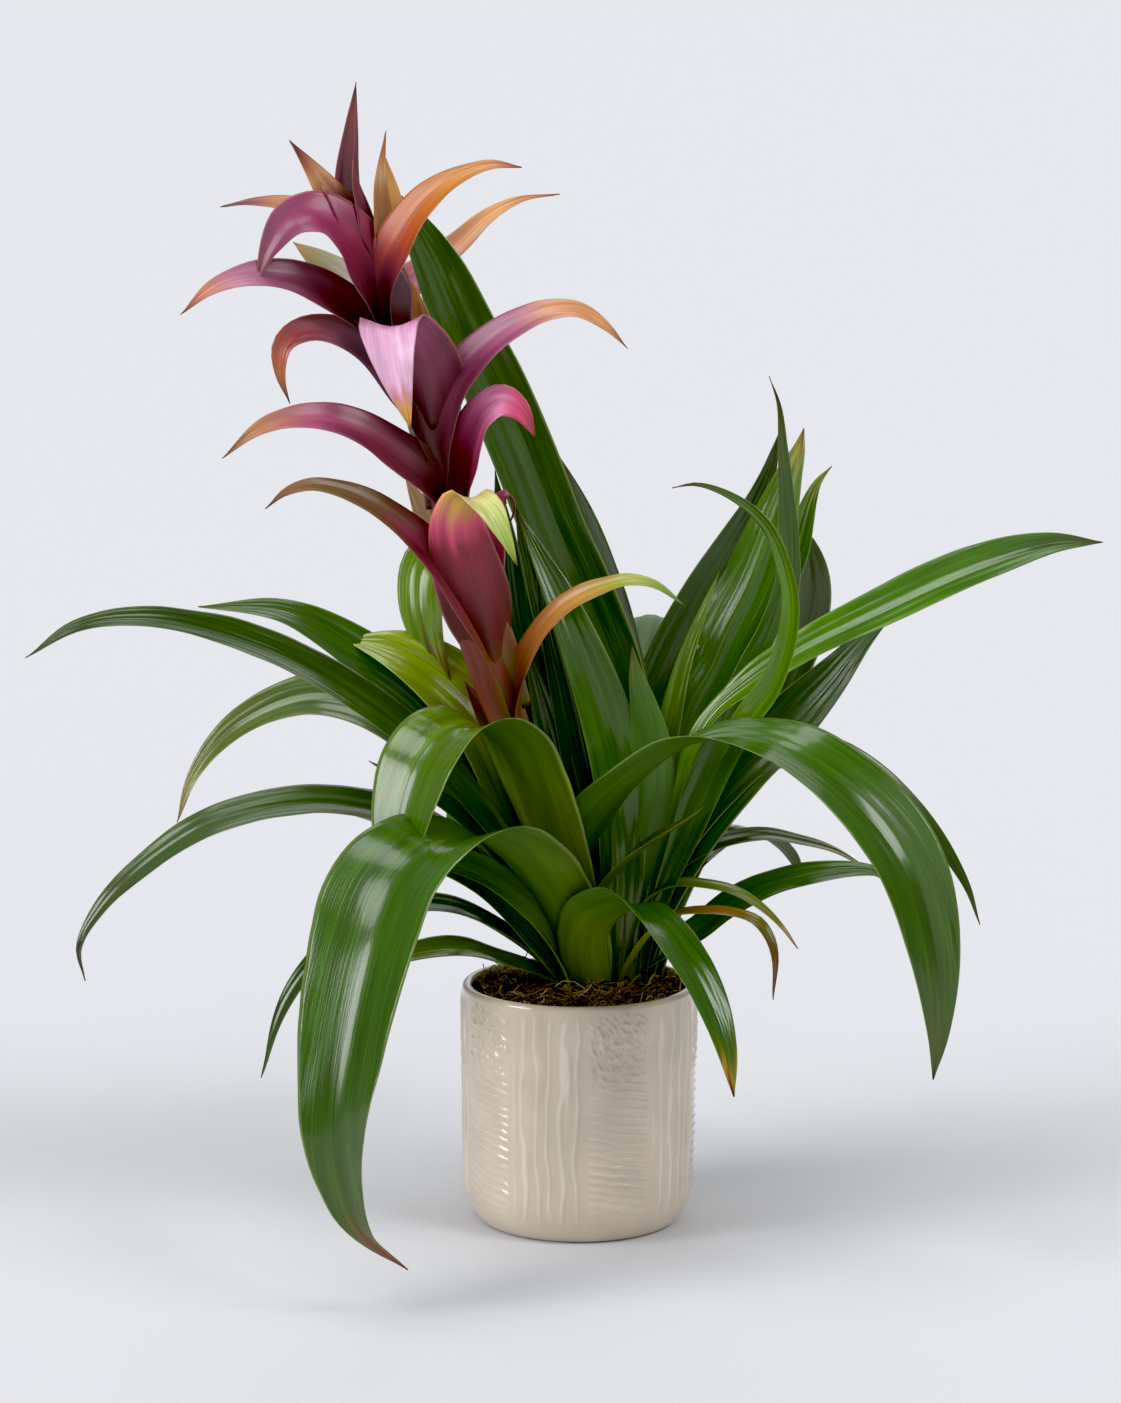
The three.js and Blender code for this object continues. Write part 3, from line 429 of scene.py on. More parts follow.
# Colours of a blade from its root to its tip, as (share of the length, colour).
GREENS = {
    "deep": [(0, "#5a6410"), (0.12, "#4c6410"), (0.35, "#33560a"), (0.75, "#2e4f0e"), (0.95, "#344f12"),
        (1, "#4f421c")],
    "mid": [(0, "#68720f"), (0.12, "#5a760c"), (0.4, "#44700a"), (0.8, "#3a640c"), (0.96, "#456414"),
        (1, "#5f4a1c")],
    "olive": [(0, "#6c7216"), (0.3, "#627410"), (0.7, "#56700f"), (1, "#5f5a1c")],
    "pale_tip": [(0, "#6a7a14"), (0.3, "#4a760c"), (0.75, "#4c7c1c"), (0.92, "#64902c"),
        (0.965, "#a4b058"), (0.985, "#c4aa50"), (1, "#8a5a2c")],
    "grey": [(0, "#5f6c30"), (0.3, "#4c6630"), (0.8, "#4c6440"), (1, "#55583a")],
}

LEAF_COLOURS = {
    "leaf_left_01": [(0, "#6c7a10"), (0.2, "#5a7a10"), (0.4, "#3f6a10"), (0.8, "#33580e"),
        (0.93, "#3f5c18"), (0.97, "#7a4a2a"), (1, "#8a3524")],
    # leaf_left_02's bright yellow-green band over its arch is painted light shining through the blade.
    "leaf_left_02": [(0, "#6a6a10"), (0.15, "#6c6610"), (0.3, "#7a8a08"), (0.45, "#7c940a"),
        (0.55, "#5f8010"), (0.9, "#446e14"), (1, "#6b5a2a")],
    # Paler yellow-green roots, lightened further as painted light against the shade in the rosette's
    # middle.
    "leaf_left_03": [(0, "#7c8a18"), (0.25, "#5a8014"), (0.42, "#3c640c"), (0.75, "#2e4f0e"),
        (0.95, "#344f12"), (1, "#4f421c")],
    "leaf_left_04": [(0, "#7c8a18"), (0.25, "#5f8614"), (0.45, "#44700a"), (0.8, "#3a640c"),
        (0.96, "#456414"), (1, "#5f4a1c")],
    "leaf_left_05": [(0, "#5a6410"), (0.2, "#446410"), (0.5, "#3f5c20"), (0.8, "#486030"),
        (0.93, "#3f4c20"), (1, "#2c1c14")],
    "leaf_left_06": [(0, "#5a6a10"), (0.3, "#4a6a1c"), (0.7, "#5c7638"), (0.9, "#6f7f38"),
        (0.97, "#a88a3c"), (1, "#5a3a20")],
    # leaf_left_07 is a yellow-green leaf, painted brighter still as light shining through it.
    "leaf_left_07": [(0, "#7a8a14"), (0.4, "#6c8c0c"), (0.62, "#82a010"), (0.7, "#7c7c14"),
        (0.76, "#8ca818"), (0.92, "#94a824"), (1, "#8fa030")],
    "leaf_left_08": [(0, "#5c740c"), (0.4, "#567c0a"), (0.75, "#628a0c"), (0.9, "#6a8c14"),
        (0.96, "#6a4a1c"), (1, "#4a2418")],
    "leaf_left_09": "deep",
    # Paler yellow-green root, lightened further as painted light against the shade in the rosette's
    # middle.
    "leaf_left_10": [(0, "#8a9620"), (0.3, "#84a028"), (0.7, "#5f8418"), (1, "#4c6414")],
    "leaf_left_11": "olive",
    # Paler yellow-green roots, lightened further as painted light against the shade in the rosette's
    # middle.
    "leaf_left_12": [(0, "#8a9620"), (0.4, "#7c9c20"), (0.75, "#4f7c14"), (1, "#446414")],
    "leaf_left_13": [(0, "#86921c"), (0.4, "#6f9018"), (1, "#446414")],
    "leaf_left_14": [(0, "#4c5c0c"), (0.3, "#2e500c"), (0.8, "#28482a"), (1, "#34582e")],
    "leaf_left_15": "deep",
    "leaf_right_01": [(0, "#64720e"), (0.25, "#6a820e"), (0.4, "#44720c"), (0.85, "#386414"),
        (0.92, "#6a7418"), (0.955, "#c0a030"), (0.975, "#a85a22"), (1, "#5a2418")],
    "leaf_right_02": [(0, "#56700c"), (0.2, "#4c740c"), (0.5, "#3f6c0c"), (0.85, "#385a14"),
        (1, "#4a5424")],
    "leaf_right_03": [(0, "#5c740c"), (0.3, "#567e0c"), (0.7, "#4f8210"), (0.9, "#3c6614"),
        (0.985, "#4a5420"), (1, "#7a4a2c")],
    "leaf_right_04": [(0, "#56700c"), (0.3, "#44740a"), (0.6, "#3a640c"), (0.85, "#3c5a20"),
        (1, "#5a4a28")],
    "leaf_right_05": "pale_tip",
    "leaf_right_06": "pale_tip",
    "leaf_right_07": [(0, "#5c760c"), (0.3, "#4f760a"), (0.7, "#568008"), (0.9, "#50742a"),
        (1, "#6a5a3a")],
    "leaf_right_08": [(0, "#4c6410"), (0.4, "#385414"), (0.7, "#3c5424"), (1, "#404c20")],
    "leaf_right_09": [(0, "#4c640c"), (0.4, "#385c0a"), (0.8, "#345424"), (1, "#3f5c2c")],
    "leaf_right_10": "deep",
    "leaf_right_11": "deep",
    "leaf_right_12": [(0, "#64780c"), (0.4, "#5a8010"), (1, "#6c8a20")],
    "leaf_right_13": [(0, "#506c0c"), (0.4, "#42700a"), (0.9, "#487424"), (1, "#7a6a3a")],
    "leaf_right_14": [(0, "#6a720f"), (0.15, "#9c943a"), (0.25, "#84842c"), (0.5, "#3f5418"),
        (0.8, "#4a5624"), (0.9, "#7a7a34"), (1, "#8a8a4a")],
    "leaf_right_15": "mid",
    "leaf_right_16": [(0, "#66740f"), (0.4, "#5f7c14"), (0.85, "#7a8420"), (0.95, "#b8862c"),
        (1, "#8a3a1c")],
    "leaf_right_17": [(0, "#76760f"), (0.3, "#8c8c24"), (0.6, "#b87a2c"), (0.75, "#6a7420"),
        (0.88, "#8a4a24"), (1, "#5a2a1c")],
    "leaf_right_18": "olive",
    "leaf_right_19": [(0, "#5a6c0c"), (0.2, "#3f6408"), (0.5, "#345a06"), (0.9, "#385e0a"),
        (1, "#34540e")],
    "leaf_right_20": "mid",
    "leaf_right_21": "deep",
    "leaf_right_22": "mid",
    "leaf_right_23": "deep",
    "leaf_right_24": "mid",
    "leaf_rear_01": "grey",
    "leaf_rear_02": "mid",
    "leaf_rear_03": "deep",
    "leaf_rear_04": "mid",
    "leaf_rear_05": "olive",
    "leaf_rear_06": "deep",
    "leaf_rear_07": "deep",
}

BRACT_COLOURS = {
    "top_upright": [(0, "#580e2e"), (0.5, "#56142a"), (0.8, "#6a2c2a"), (1, "#38101a")],
    "top_front": [(0, "#5a1034"), (0.6, "#6e2848"), (1, "#7a3030")],
    "top_dried": [(0, "#400a20"), (0.3, "#4a0e28"), (0.45, "#9a5028"), (0.62, "#c08a5c"),
        (0.75, "#a06038"), (0.88, "#6a1c34"), (1, "#3a1018")],
    "top_dried_short": [(0, "#480c2a"), (0.55, "#8c1450"), (0.8, "#7a1440"), (0.92, "#b08a6a"),
        (1, "#6a3024")],
    "top_left": [(0, "#8a3048"), (0.3, "#c07c50"), (0.6, "#b4703e"), (0.8, "#7a3038"), (1, "#3c1018")],
    "broad_left": [(0, "#3c061c"), (0.25, "#580a2e"), (0.45, "#800c44"), (0.62, "#8a1650"),
        (0.75, "#84345a"), (0.92, "#743044"), (1, "#40101c")],
    "upper_right": [(0, "#420c22"), (0.2, "#60163a"), (0.3, "#8a2834"), (0.38, "#a63e14"),
        (0.52, "#b45c12"), (0.66, "#c47820"), (0.85, "#c48444"), (0.95, "#9a4c2c"), (1, "#5a201c")],
    "top_right": [(0, "#5c1c1c"), (0.35, "#8a4c24"), (0.6, "#9c6430"), (0.72, "#c49a68"), (0.8, "#b87c38"),
        (1, "#7a3818")],
    "top_right_rear": [(0, "#b8682c"), (0.5, "#d4903c"), (0.75, "#e0a860"), (1, "#c07c38")],
    "rear_right": [(0, "#6a2440"), (0.4, "#a0527a"), (0.55, "#c48068"), (0.8, "#dca060"), (1, "#8a4024")],
    "upper_left": [(0, "#38081c"), (0.3, "#621c38"), (0.55, "#7e3458"), (0.72, "#b06c88"),
        (0.85, "#c0785c"), (0.94, "#8a4824"), (1, "#3a1414")],
    "pale_rear": [(0, "#8a5468"), (0.35, "#b8a0a0"), (0.7, "#8c8c5c"), (1, "#a07438")],
    "curled_left": [(0, "#30081a"), (0.3, "#4c1c38"), (0.48, "#845c74"), (0.62, "#8c4a5c"),
        (0.74, "#8a1c28"), (0.88, "#a85820"), (1, "#3a1414")],
    "folded_front": [(0, "#4c1428"), (0.35, "#74284a"), (0.47, "#a05078"), (0.6, "#d8a0c4"),
        (0.8, "#e0b0cc"), (0.86, "#c87c8c"), (0.9, "#c8943a"), (1, "#a86a1e")],
    "middle_right": [(0, "#440c20"), (0.3, "#64203c"), (0.5, "#8c3460"), (0.64, "#a8607c"),
        (0.74, "#cc9068"), (0.9, "#c48440"), (1, "#5a2418")],
    # The pale pink around two thirds of curled_right's length is a painted highlight.
    "curled_right": [(0, "#6a1034"), (0.35, "#8c2048"), (0.55, "#cc5c90"), (0.68, "#e890bc"),
        (0.8, "#cc3c6c"), (0.92, "#98203c"), (1, "#6a2424")],
    "rear_middle": [(0, "#c87c84"), (0.5, "#d89c80"), (1, "#c08440")],
    "rear_upper": [(0, "#a05030"), (1, "#b87c38")],
    "middle_left": [(0, "#380a18"), (0.25, "#5a1a2e"), (0.5, "#7c2444"), (0.65, "#b05078"),
        (0.76, "#a86060"), (0.88, "#b07c44"), (1, "#3e1c14")],
    "lower_left": [(0, "#5c5410"), (0.1, "#66560f"), (0.2, "#7a4424"), (0.32, "#80303c"),
        (0.55, "#8a2848"), (0.66, "#734a2c"), (0.82, "#6f5a2c"), (0.93, "#8a5c34"), (1, "#3a1814")],
    "lower_front": [(0, "#6c4420"), (0.12, "#5a1a20"), (0.3, "#6a1c30"), (0.48, "#861a38"),
        (0.56, "#d84c74"), (0.66, "#e8b45c"), (0.76, "#d4d480"), (0.88, "#9cb44c"), (0.97, "#8ca03c"),
        (1, "#a07030")],
    "small_curl": [(0, "#7a143c"), (0.6, "#a8305c"), (1, "#3a1014")],
    "lower_rear": [(0, "#7a3040"), (0.5, "#a07c5c"), (1, "#94704c")],
    "foot_right": [(0, "#5c2c1c"), (0.25, "#8c4c28"), (0.5, "#bc7c38"), (0.65, "#b89034"),
        (0.75, "#9c9c30"), (0.9, "#789830"), (1, "#3f6420")],
    "foot_rear": [(0, "#4c500c"), (0.6, "#6a4024"), (1, "#8c5454")],
    "foot_left": [(0, "#5f6410"), (0.6, "#5c3c18"), (1, "#6c2c20")],
}

STALK_COLOURS = [(0, "#5c5a0c"), (0.25, "#645c08"), (0.36, "#6c5014"), (0.45, "#7a3428"), (0.8, "#561434"),
    (1, "#48102c")]
STEM_COLOURS = [(0, "#4c4c14"), (0.6, "#647014"), (1, "#5c7414")]

MATH = "ShaderNodeMath"
VECTOR = "ShaderNodeVectorMath"
# Maths nodes with their operation.
ABSOLUTE = (MATH, "ABSOLUTE")
ADD = (MATH, "ADD")
COSINE = (MATH, "COSINE")
DIVIDE = (MATH, "DIVIDE")
FRACT = (MATH, "FRACT")
MINIMUM = (MATH, "MINIMUM")
MULTIPLY = (MATH, "MULTIPLY")
MULTIPLY_ADD = (MATH, "MULTIPLY_ADD")
POWER = (MATH, "POWER")
SINE = (MATH, "SINE")
SUBTRACT = (MATH, "SUBTRACT")
VECTOR_ADD = (VECTOR, "ADD")
VECTOR_LENGTH = (VECTOR, "LENGTH")
VECTOR_MULTIPLY = (VECTOR, "MULTIPLY")
VECTOR_SCALE = (VECTOR, "SCALE")
VECTOR_SUBTRACT = (VECTOR, "SUBTRACT")
RANGE = "ShaderNodeMapRange"
NOISE = "ShaderNodeTexNoise"
JOINED = "ShaderNodeCombineXYZ"
SPLIT = "ShaderNodeSeparateXYZ"
STORED = "GeometryNodeInputNamedAttribute"
ATTRIBUTE = "ShaderNodeAttribute"
# Sockets of a Mix node that mixes colours.
MIX_FACTOR, MIX_A, MIX_B, MIX_RESULT = 0, 6, 7, 2
# Most of a noise lies between these two values.
NOISE_SPAN = {"From Min": 0.3, "From Max": 0.7}
# A round body without ribs, hatching and flecks.
PLAIN_BODY = {"Panels": 1.0, "Rib Share": 0.5, "Hatch Pitch": 1.0, "Fleck Size": 1.0}
# Points closer than this, in metres, become one.
MERGE_REACH = 1e-6


def linear(hex_code):
    """An sRGB hex colour as linear red, green, blue and alpha."""
    channels = [int(hex_code[k:k + 2], 16) / 255 for k in (1, 3, 5)]
    return (*(c / 12.92 if c <= 0.04045 else ((c + 0.055) / 1.055) ** 2.4 for c in channels), 1.0)


def node(tree, kind, inputs=(), stops=(), **settings):
    """Adds a node with its settings, its values and links, and the colour stops of a ramp.

    A maths node is asked for with its operation. The inputs are a dict by socket, or a tuple for
    the first sockets in turn.
    """
    if isinstance(kind, tuple):
        kind, settings["operation"] = kind
    made = tree.nodes.new(kind)
    for name, value in settings.items():
        setattr(made, name, value)
    by_socket = inputs if isinstance(inputs, dict) else dict(enumerate(inputs))
    for key, given in by_socket.items():
        for value in given if isinstance(given, list) else [given]:
            source = value.outputs[0] if isinstance(value, bpy.types.Node) else value
            if isinstance(source, bpy.types.NodeSocket):
                tree.links.new(source, made.inputs[key])
            else:
                made.inputs[key].default_value = value
    for place, (share, colour) in enumerate(stops):
        stop = made.color_ramp.elements[place] if place < 2 else made.color_ramp.elements.new(share)
        stop.position = share
        stop.color = linear(colour)
    return made


def new_finish(name, **constants):
    """A material with a plain shader and its constant values."""
    finish = bpy.data.materials.new(name)
    finish.use_nodes = True
    tree = finish.node_tree
    shader = tree.nodes["Principled BSDF"]
    for label, value in constants.items():
        shader.inputs[label.replace("_", " ")].default_value = value
    return finish, tree, shader


# Camera, floor and light.

def add_camera():
    camera = bpy.data.objects.new("front_view", bpy.data.cameras.new("front_view"))
    camera.data.sensor_fit = "VERTICAL"
    camera.data.sensor_height = SENSOR
    camera.data.lens = VIEW_STEPS / VIEW_HEIGHT * SENSOR
    camera.data.clip_end = FAR_CLIP
    camera.location = VIEW_FROM * MM
    camera.rotation_euler = (math.pi / 2 - VIEW_DIP, 0, 0)
    bpy.context.scene.collection.objects.link(camera)
    bpy.context.scene.camera = camera


def add_floor():
    """A matt pale floor that runs out to the horizon."""
    mesh = bpy.data.meshes.new("pale_floor")
    corners = [(x * FLOOR_REACH, y * FLOOR_REACH, 0) for x, y in ((-1, -1), (1, -1), (1, 1), (-1, 1))]
    mesh.from_pydata(corners, [], [(0, 1, 2, 3)])
    finish, _, _ = new_finish(
        "matt_paper", Base_Color=linear(FLOOR_COLOUR), Roughness=0.9, Specular_IOR_Level=0.1)
    mesh.materials.append(finish)
    floor = bpy.data.objects.new("pale_floor", mesh)
    bpy.context.scene.collection.objects.link(floor)


def add_lights():
    """Wide soft lamps from above and all round, in a pale surrounding."""
    for name, (toward, strength, width) in LAMPS.items():
        light = bpy.data.objects.new(name, bpy.data.lights.new(name, "SUN"))
        light.data.energy = strength
        light.data.angle = math.radians(width)
        light.rotation_euler = Vector(toward).to_track_quat("Z", "Y").to_euler()
        bpy.context.scene.collection.objects.link(light)
    world = bpy.data.worlds.new("pale_studio")
    world.use_nodes = True
    background = world.node_tree.nodes["Background"]
    background.inputs["Color"].default_value = linear(SKY_COLOUR)
    background.inputs["Strength"].default_value = SKY_STRENGTH
    bpy.context.scene.world = world
    view = bpy.context.scene.view_settings
    view.view_transform = "Standard"
    view.use_curve_mapping = True
    view.curve_mapping.black_level = BLACK_LEVEL


# Spines: the stations that a blade, stem or pot is skinned over.

def from_front_view(point):
    """A point of the front view, (across, down, back), in mm."""
    across, down, back = point
    aside = (across - VIEW_CENTRE[0]) / VIEW_STEPS
    drop = (down - VIEW_CENTRE[1]) / VIEW_STEPS
    level = math.cos(VIEW_DIP) - drop * math.sin(VIEW_DIP)
    sight = np.array((aside, level, -math.sin(VIEW_DIP) - drop * math.cos(VIEW_DIP)))
    return VIEW_FROM + sight * (back - VIEW_FROM[1]) / sight[1]


def trace(points):
    """A fine centripetal curve through the points."""
    ghosts = [2 * points[0] - points[1], *points, 2 * points[-1] - points[-2]]
    places = []
    for before, start, end, after in zip(ghosts, ghosts[1:], ghosts[2:], ghosts[3:]):
        lead, span, trail = (np.linalg.norm(b - a) ** 0.5
                             for a, b in ((before, start), (start, end), (end, after)))
        leaving = (start - before) / lead - (end - before) / (lead + span) + (end - start) / span
        arriving = (end - start) / span - (after - start) / (span + trail) + (after - end) / trail
        leaving, arriving = leaving * span, arriving * span
        for step in range(TRACE_STEPS):
            t = step / TRACE_STEPS
            square = 3 * (end - start) - 2 * leaving - arriving
            cube = 2 * (start - end) + leaving + arriving
            places.append(start + leaving * t + square * t ** 2 + cube * t ** 3)
    return np.array([*places, points[-1]])


def walk(points, count):
    """Stations at equal steps along the points: their places, directions and distances."""
    fine = trace(points)
    gone = np.concatenate(([0], np.cumsum(np.linalg.norm(np.diff(fine, axis=0), axis=1))))
    distance = np.linspace(0, gone[-1], count)
    places = np.stack([np.interp(distance, gone, fine[:, k]) for k in range(3)], axis=1)
    directions = np.gradient(places, axis=0)
    directions /= np.linalg.norm(directions, axis=1)[:, None]
    return places, directions, distance


def spine_mesh(name, fields):
    """A line of vertices that carries each field of a spine, in metres."""
    mesh = bpy.data.meshes.new(name)
    count = len(fields["place"])
    mesh.from_pydata(fields["place"].tolist(), [(k, k + 1) for k in range(count - 1)], [])
    for field, values in fields.items():
        many = values.ndim == 2
        layer = mesh.attributes.new(field, "FLOAT_VECTOR" if many else "FLOAT", "POINT")
        layer.data.foreach_set("vector" if many else "value", values.astype(np.float32).ravel())
    return mesh


def smooth(value, low, high):
    share = np.clip((value - low) / (high - low), 0, 1)
    return share * share * (3 - 2 * share)


# Geometry Nodes: blades, round bodies and coir strands.

def new_tree(name, sockets):
    tree = bpy.data.node_groups.new(name, "GeometryNodeTree")
    for way in ("INPUT", "OUTPUT"):
        tree.interface.new_socket("Geometry", in_out=way, socket_type="NodeSocketGeometry")
    for label, kind in sockets.items():
        tree.interface.new_socket(label, in_out="INPUT", socket_type="NodeSocket" + kind)
    return tree, node(tree, "NodeGroupInput").outputs


def skin_over_spine(tree, given, fields):
    """A grid over the stations, the shares across and along it, and the spine's fields on it."""
    grid = node(tree, "GeometryNodeMeshGrid", {
        "Size X": 1.0, "Size Y": 1.0,
        "Vertices X": given["Steps Across"], "Vertices Y": given["Steps Along"]})
    place = node(tree, SPLIT, (node(tree, "GeometryNodeInputPosition"),))
    across = node(tree, ADD, (place.outputs["X"], 0.5))
    along = node(tree, ADD, (place.outputs["Y"], 0.5))
    last = node(tree, SUBTRACT, (given["Steps Along"], 1.0))
    station = node(tree, MULTIPLY_ADD, (along, last, 0.5))
    found = {}
    for field, kind in fields.items():
        named = node(tree, STORED, {"Name": field}, data_type=kind)
        found[field] = node(tree, "GeometryNodeSampleIndex", {
            "Geometry": given["Geometry"], "Value": named, "Index": station},
            data_type=kind, clamp=True)
    return grid, across, along, found


def keep_fields(tree, geometry, fields):
    """The geometry with each named value stored on it."""
    for name, (value, kind, domain) in fields.items():
        geometry = node(tree, "GeometryNodeStoreNamedAttribute", {
            "Geometry": geometry, "Name": name, "Value": value}, data_type=kind, domain=domain)
    return geometry


def closed_skin(tree, geometry):
    """The geometry as one smooth skin, with its meeting points merged."""
    merged = node(tree, "GeometryNodeMergeByDistance", {"Geometry": geometry, "Distance": MERGE_REACH})
    shaded = node(tree, "GeometryNodeSetShadeSmooth", {"Geometry": merged})
    return node(tree, "GeometryNodeRealizeInstances", {"Geometry": shaded})


def blade_tree():
    """A closed channelled blade, thick in the middle and sharp at its margins."""
    tree, given = new_tree("blade_along_a_spine", {
        "Steps Across": "Int", "Steps Along": "Int", "Thickness": "Float", "Roundness": "Float",
        "Pleats": "Float", "Pleat Height": "Float", "Wave Height": "Float", "Wave Length": "Float",
        "Seed": "Float", "Upper Finish": "Material", "Under Finish": "Material"})
    grid, share, along, spine = skin_over_spine(tree, given, {
        "place": "FLOAT_VECTOR", "side": "FLOAT_VECTOR", "face": "FLOAT_VECTOR",
        "half": "FLOAT", "rise": "FLOAT", "distance": "FLOAT"})
    across = node(tree, MULTIPLY_ADD, (share, 2.0, -1.0))
    outward = node(tree, ABSOLUTE, (across,))

    cosine = node(tree, COSINE, (spine["rise"],))
    spread = node(tree, MULTIPLY, (cosine, spine["half"]))
    sideways = node(tree, MULTIPLY, (across, spread))
    sine = node(tree, SINE, (spine["rise"],))
    rise = node(tree, MULTIPLY, (sine, spine["half"]))
    bowl = node(tree, POWER, (outward, given["Roundness"]))
    channel = node(tree, MULTIPLY, (bowl, rise))

    turns = node(tree, MULTIPLY, (across, given["Pleats"]))
    half_turns = node(tree, MULTIPLY, (turns, math.pi))
    ripple = node(tree, COSINE, (half_turns,))
    toward_edge = node(tree, MULTIPLY, (across, across))
    flat_edge = node(tree, SUBTRACT, (1.0, toward_edge))
    dying_ripple = node(tree, MULTIPLY, (ripple, flat_edge))
    pleat = node(tree, MULTIPLY, (dying_ripple, given["Pleat Height"]))

    beat = node(tree, DIVIDE, (spine["distance"], given["Wave Length"]))
    where = node(tree, JOINED, (across, beat, given["Seed"]))
    swell = node(tree, NOISE, {"Vector": where, "Scale": 1.0, "Detail": 1.0})
    centred = node(tree, SUBTRACT, (swell, 0.5))
    edge_wave = node(tree, MULTIPLY, (centred, toward_edge))
    wave = node(tree, MULTIPLY, (edge_wave, given["Wave Height"]))
    relief = node(tree, ADD, (pleat, wave))
    lift = node(tree, ADD, (channel, relief))

    # The thickness dies out at both margins and at both ends, which closes the blade.
    thin_margin = node(tree, POWER, (outward, MARGIN_POWER))
    toward_end = node(tree, MULTIPLY_ADD, (along, 2.0, -1.0))
    end_share = node(tree, ABSOLUTE, (toward_end,))
    thin_end = node(tree, POWER, (end_share, END_POWER))
    full_across = node(tree, SUBTRACT, (1.0, thin_margin))
    full_along = node(tree, SUBTRACT, (1.0, thin_end))
    body = node(tree, MULTIPLY, (full_across, full_along))
    thickness = node(tree, MULTIPLY, (body, given["Thickness"]))

    width = node(tree, MULTIPLY, (across, spine["half"]))
    unrolled = node(tree, JOINED, (width, spine["distance"]))
    sheet = keep_fields(tree, grid, {
        "across": (across, "FLOAT", "POINT"), "along": (along, "FLOAT", "POINT"),
        "UVMap": (unrolled, "FLOAT2", "CORNER")})
    aside = node(tree, VECTOR_SCALE, {0: spine["side"], "Scale": sideways})
    spread_place = node(tree, VECTOR_ADD, (spine["place"], aside))
    surfaces = []
    for half in (0.5, -0.5):
        height = node(tree, MULTIPLY_ADD, (thickness, half, lift))
        raised = node(tree, VECTOR_SCALE, {0: spine["face"], "Scale": height})
        place = node(tree, VECTOR_ADD, (spread_place, raised))
        surfaces.append(node(tree, "GeometryNodeSetPosition", {"Geometry": sheet, "Position": place}))
    underside = node(tree, "GeometryNodeFlipFaces", {"Mesh": surfaces[1]})
    marked = keep_fields(tree, underside, {"under": (1.0, "FLOAT", "FACE")})
    both = node(tree, "GeometryNodeJoinGeometry", {0: [surfaces[0], marked]})
    upper = node(tree, "GeometryNodeSetMaterial", {
        "Geometry": closed_skin(tree, both), "Material": given["Upper Finish"]})
    is_under = node(tree, STORED, {"Name": "under"}, data_type="FLOAT")
    under = node(tree, "GeometryNodeSetMaterial", {
        "Geometry": upper, "Selection": is_under, "Material": given["Under Finish"]})
    node(tree, "NodeGroupOutput", {"Geometry": under})
    return tree


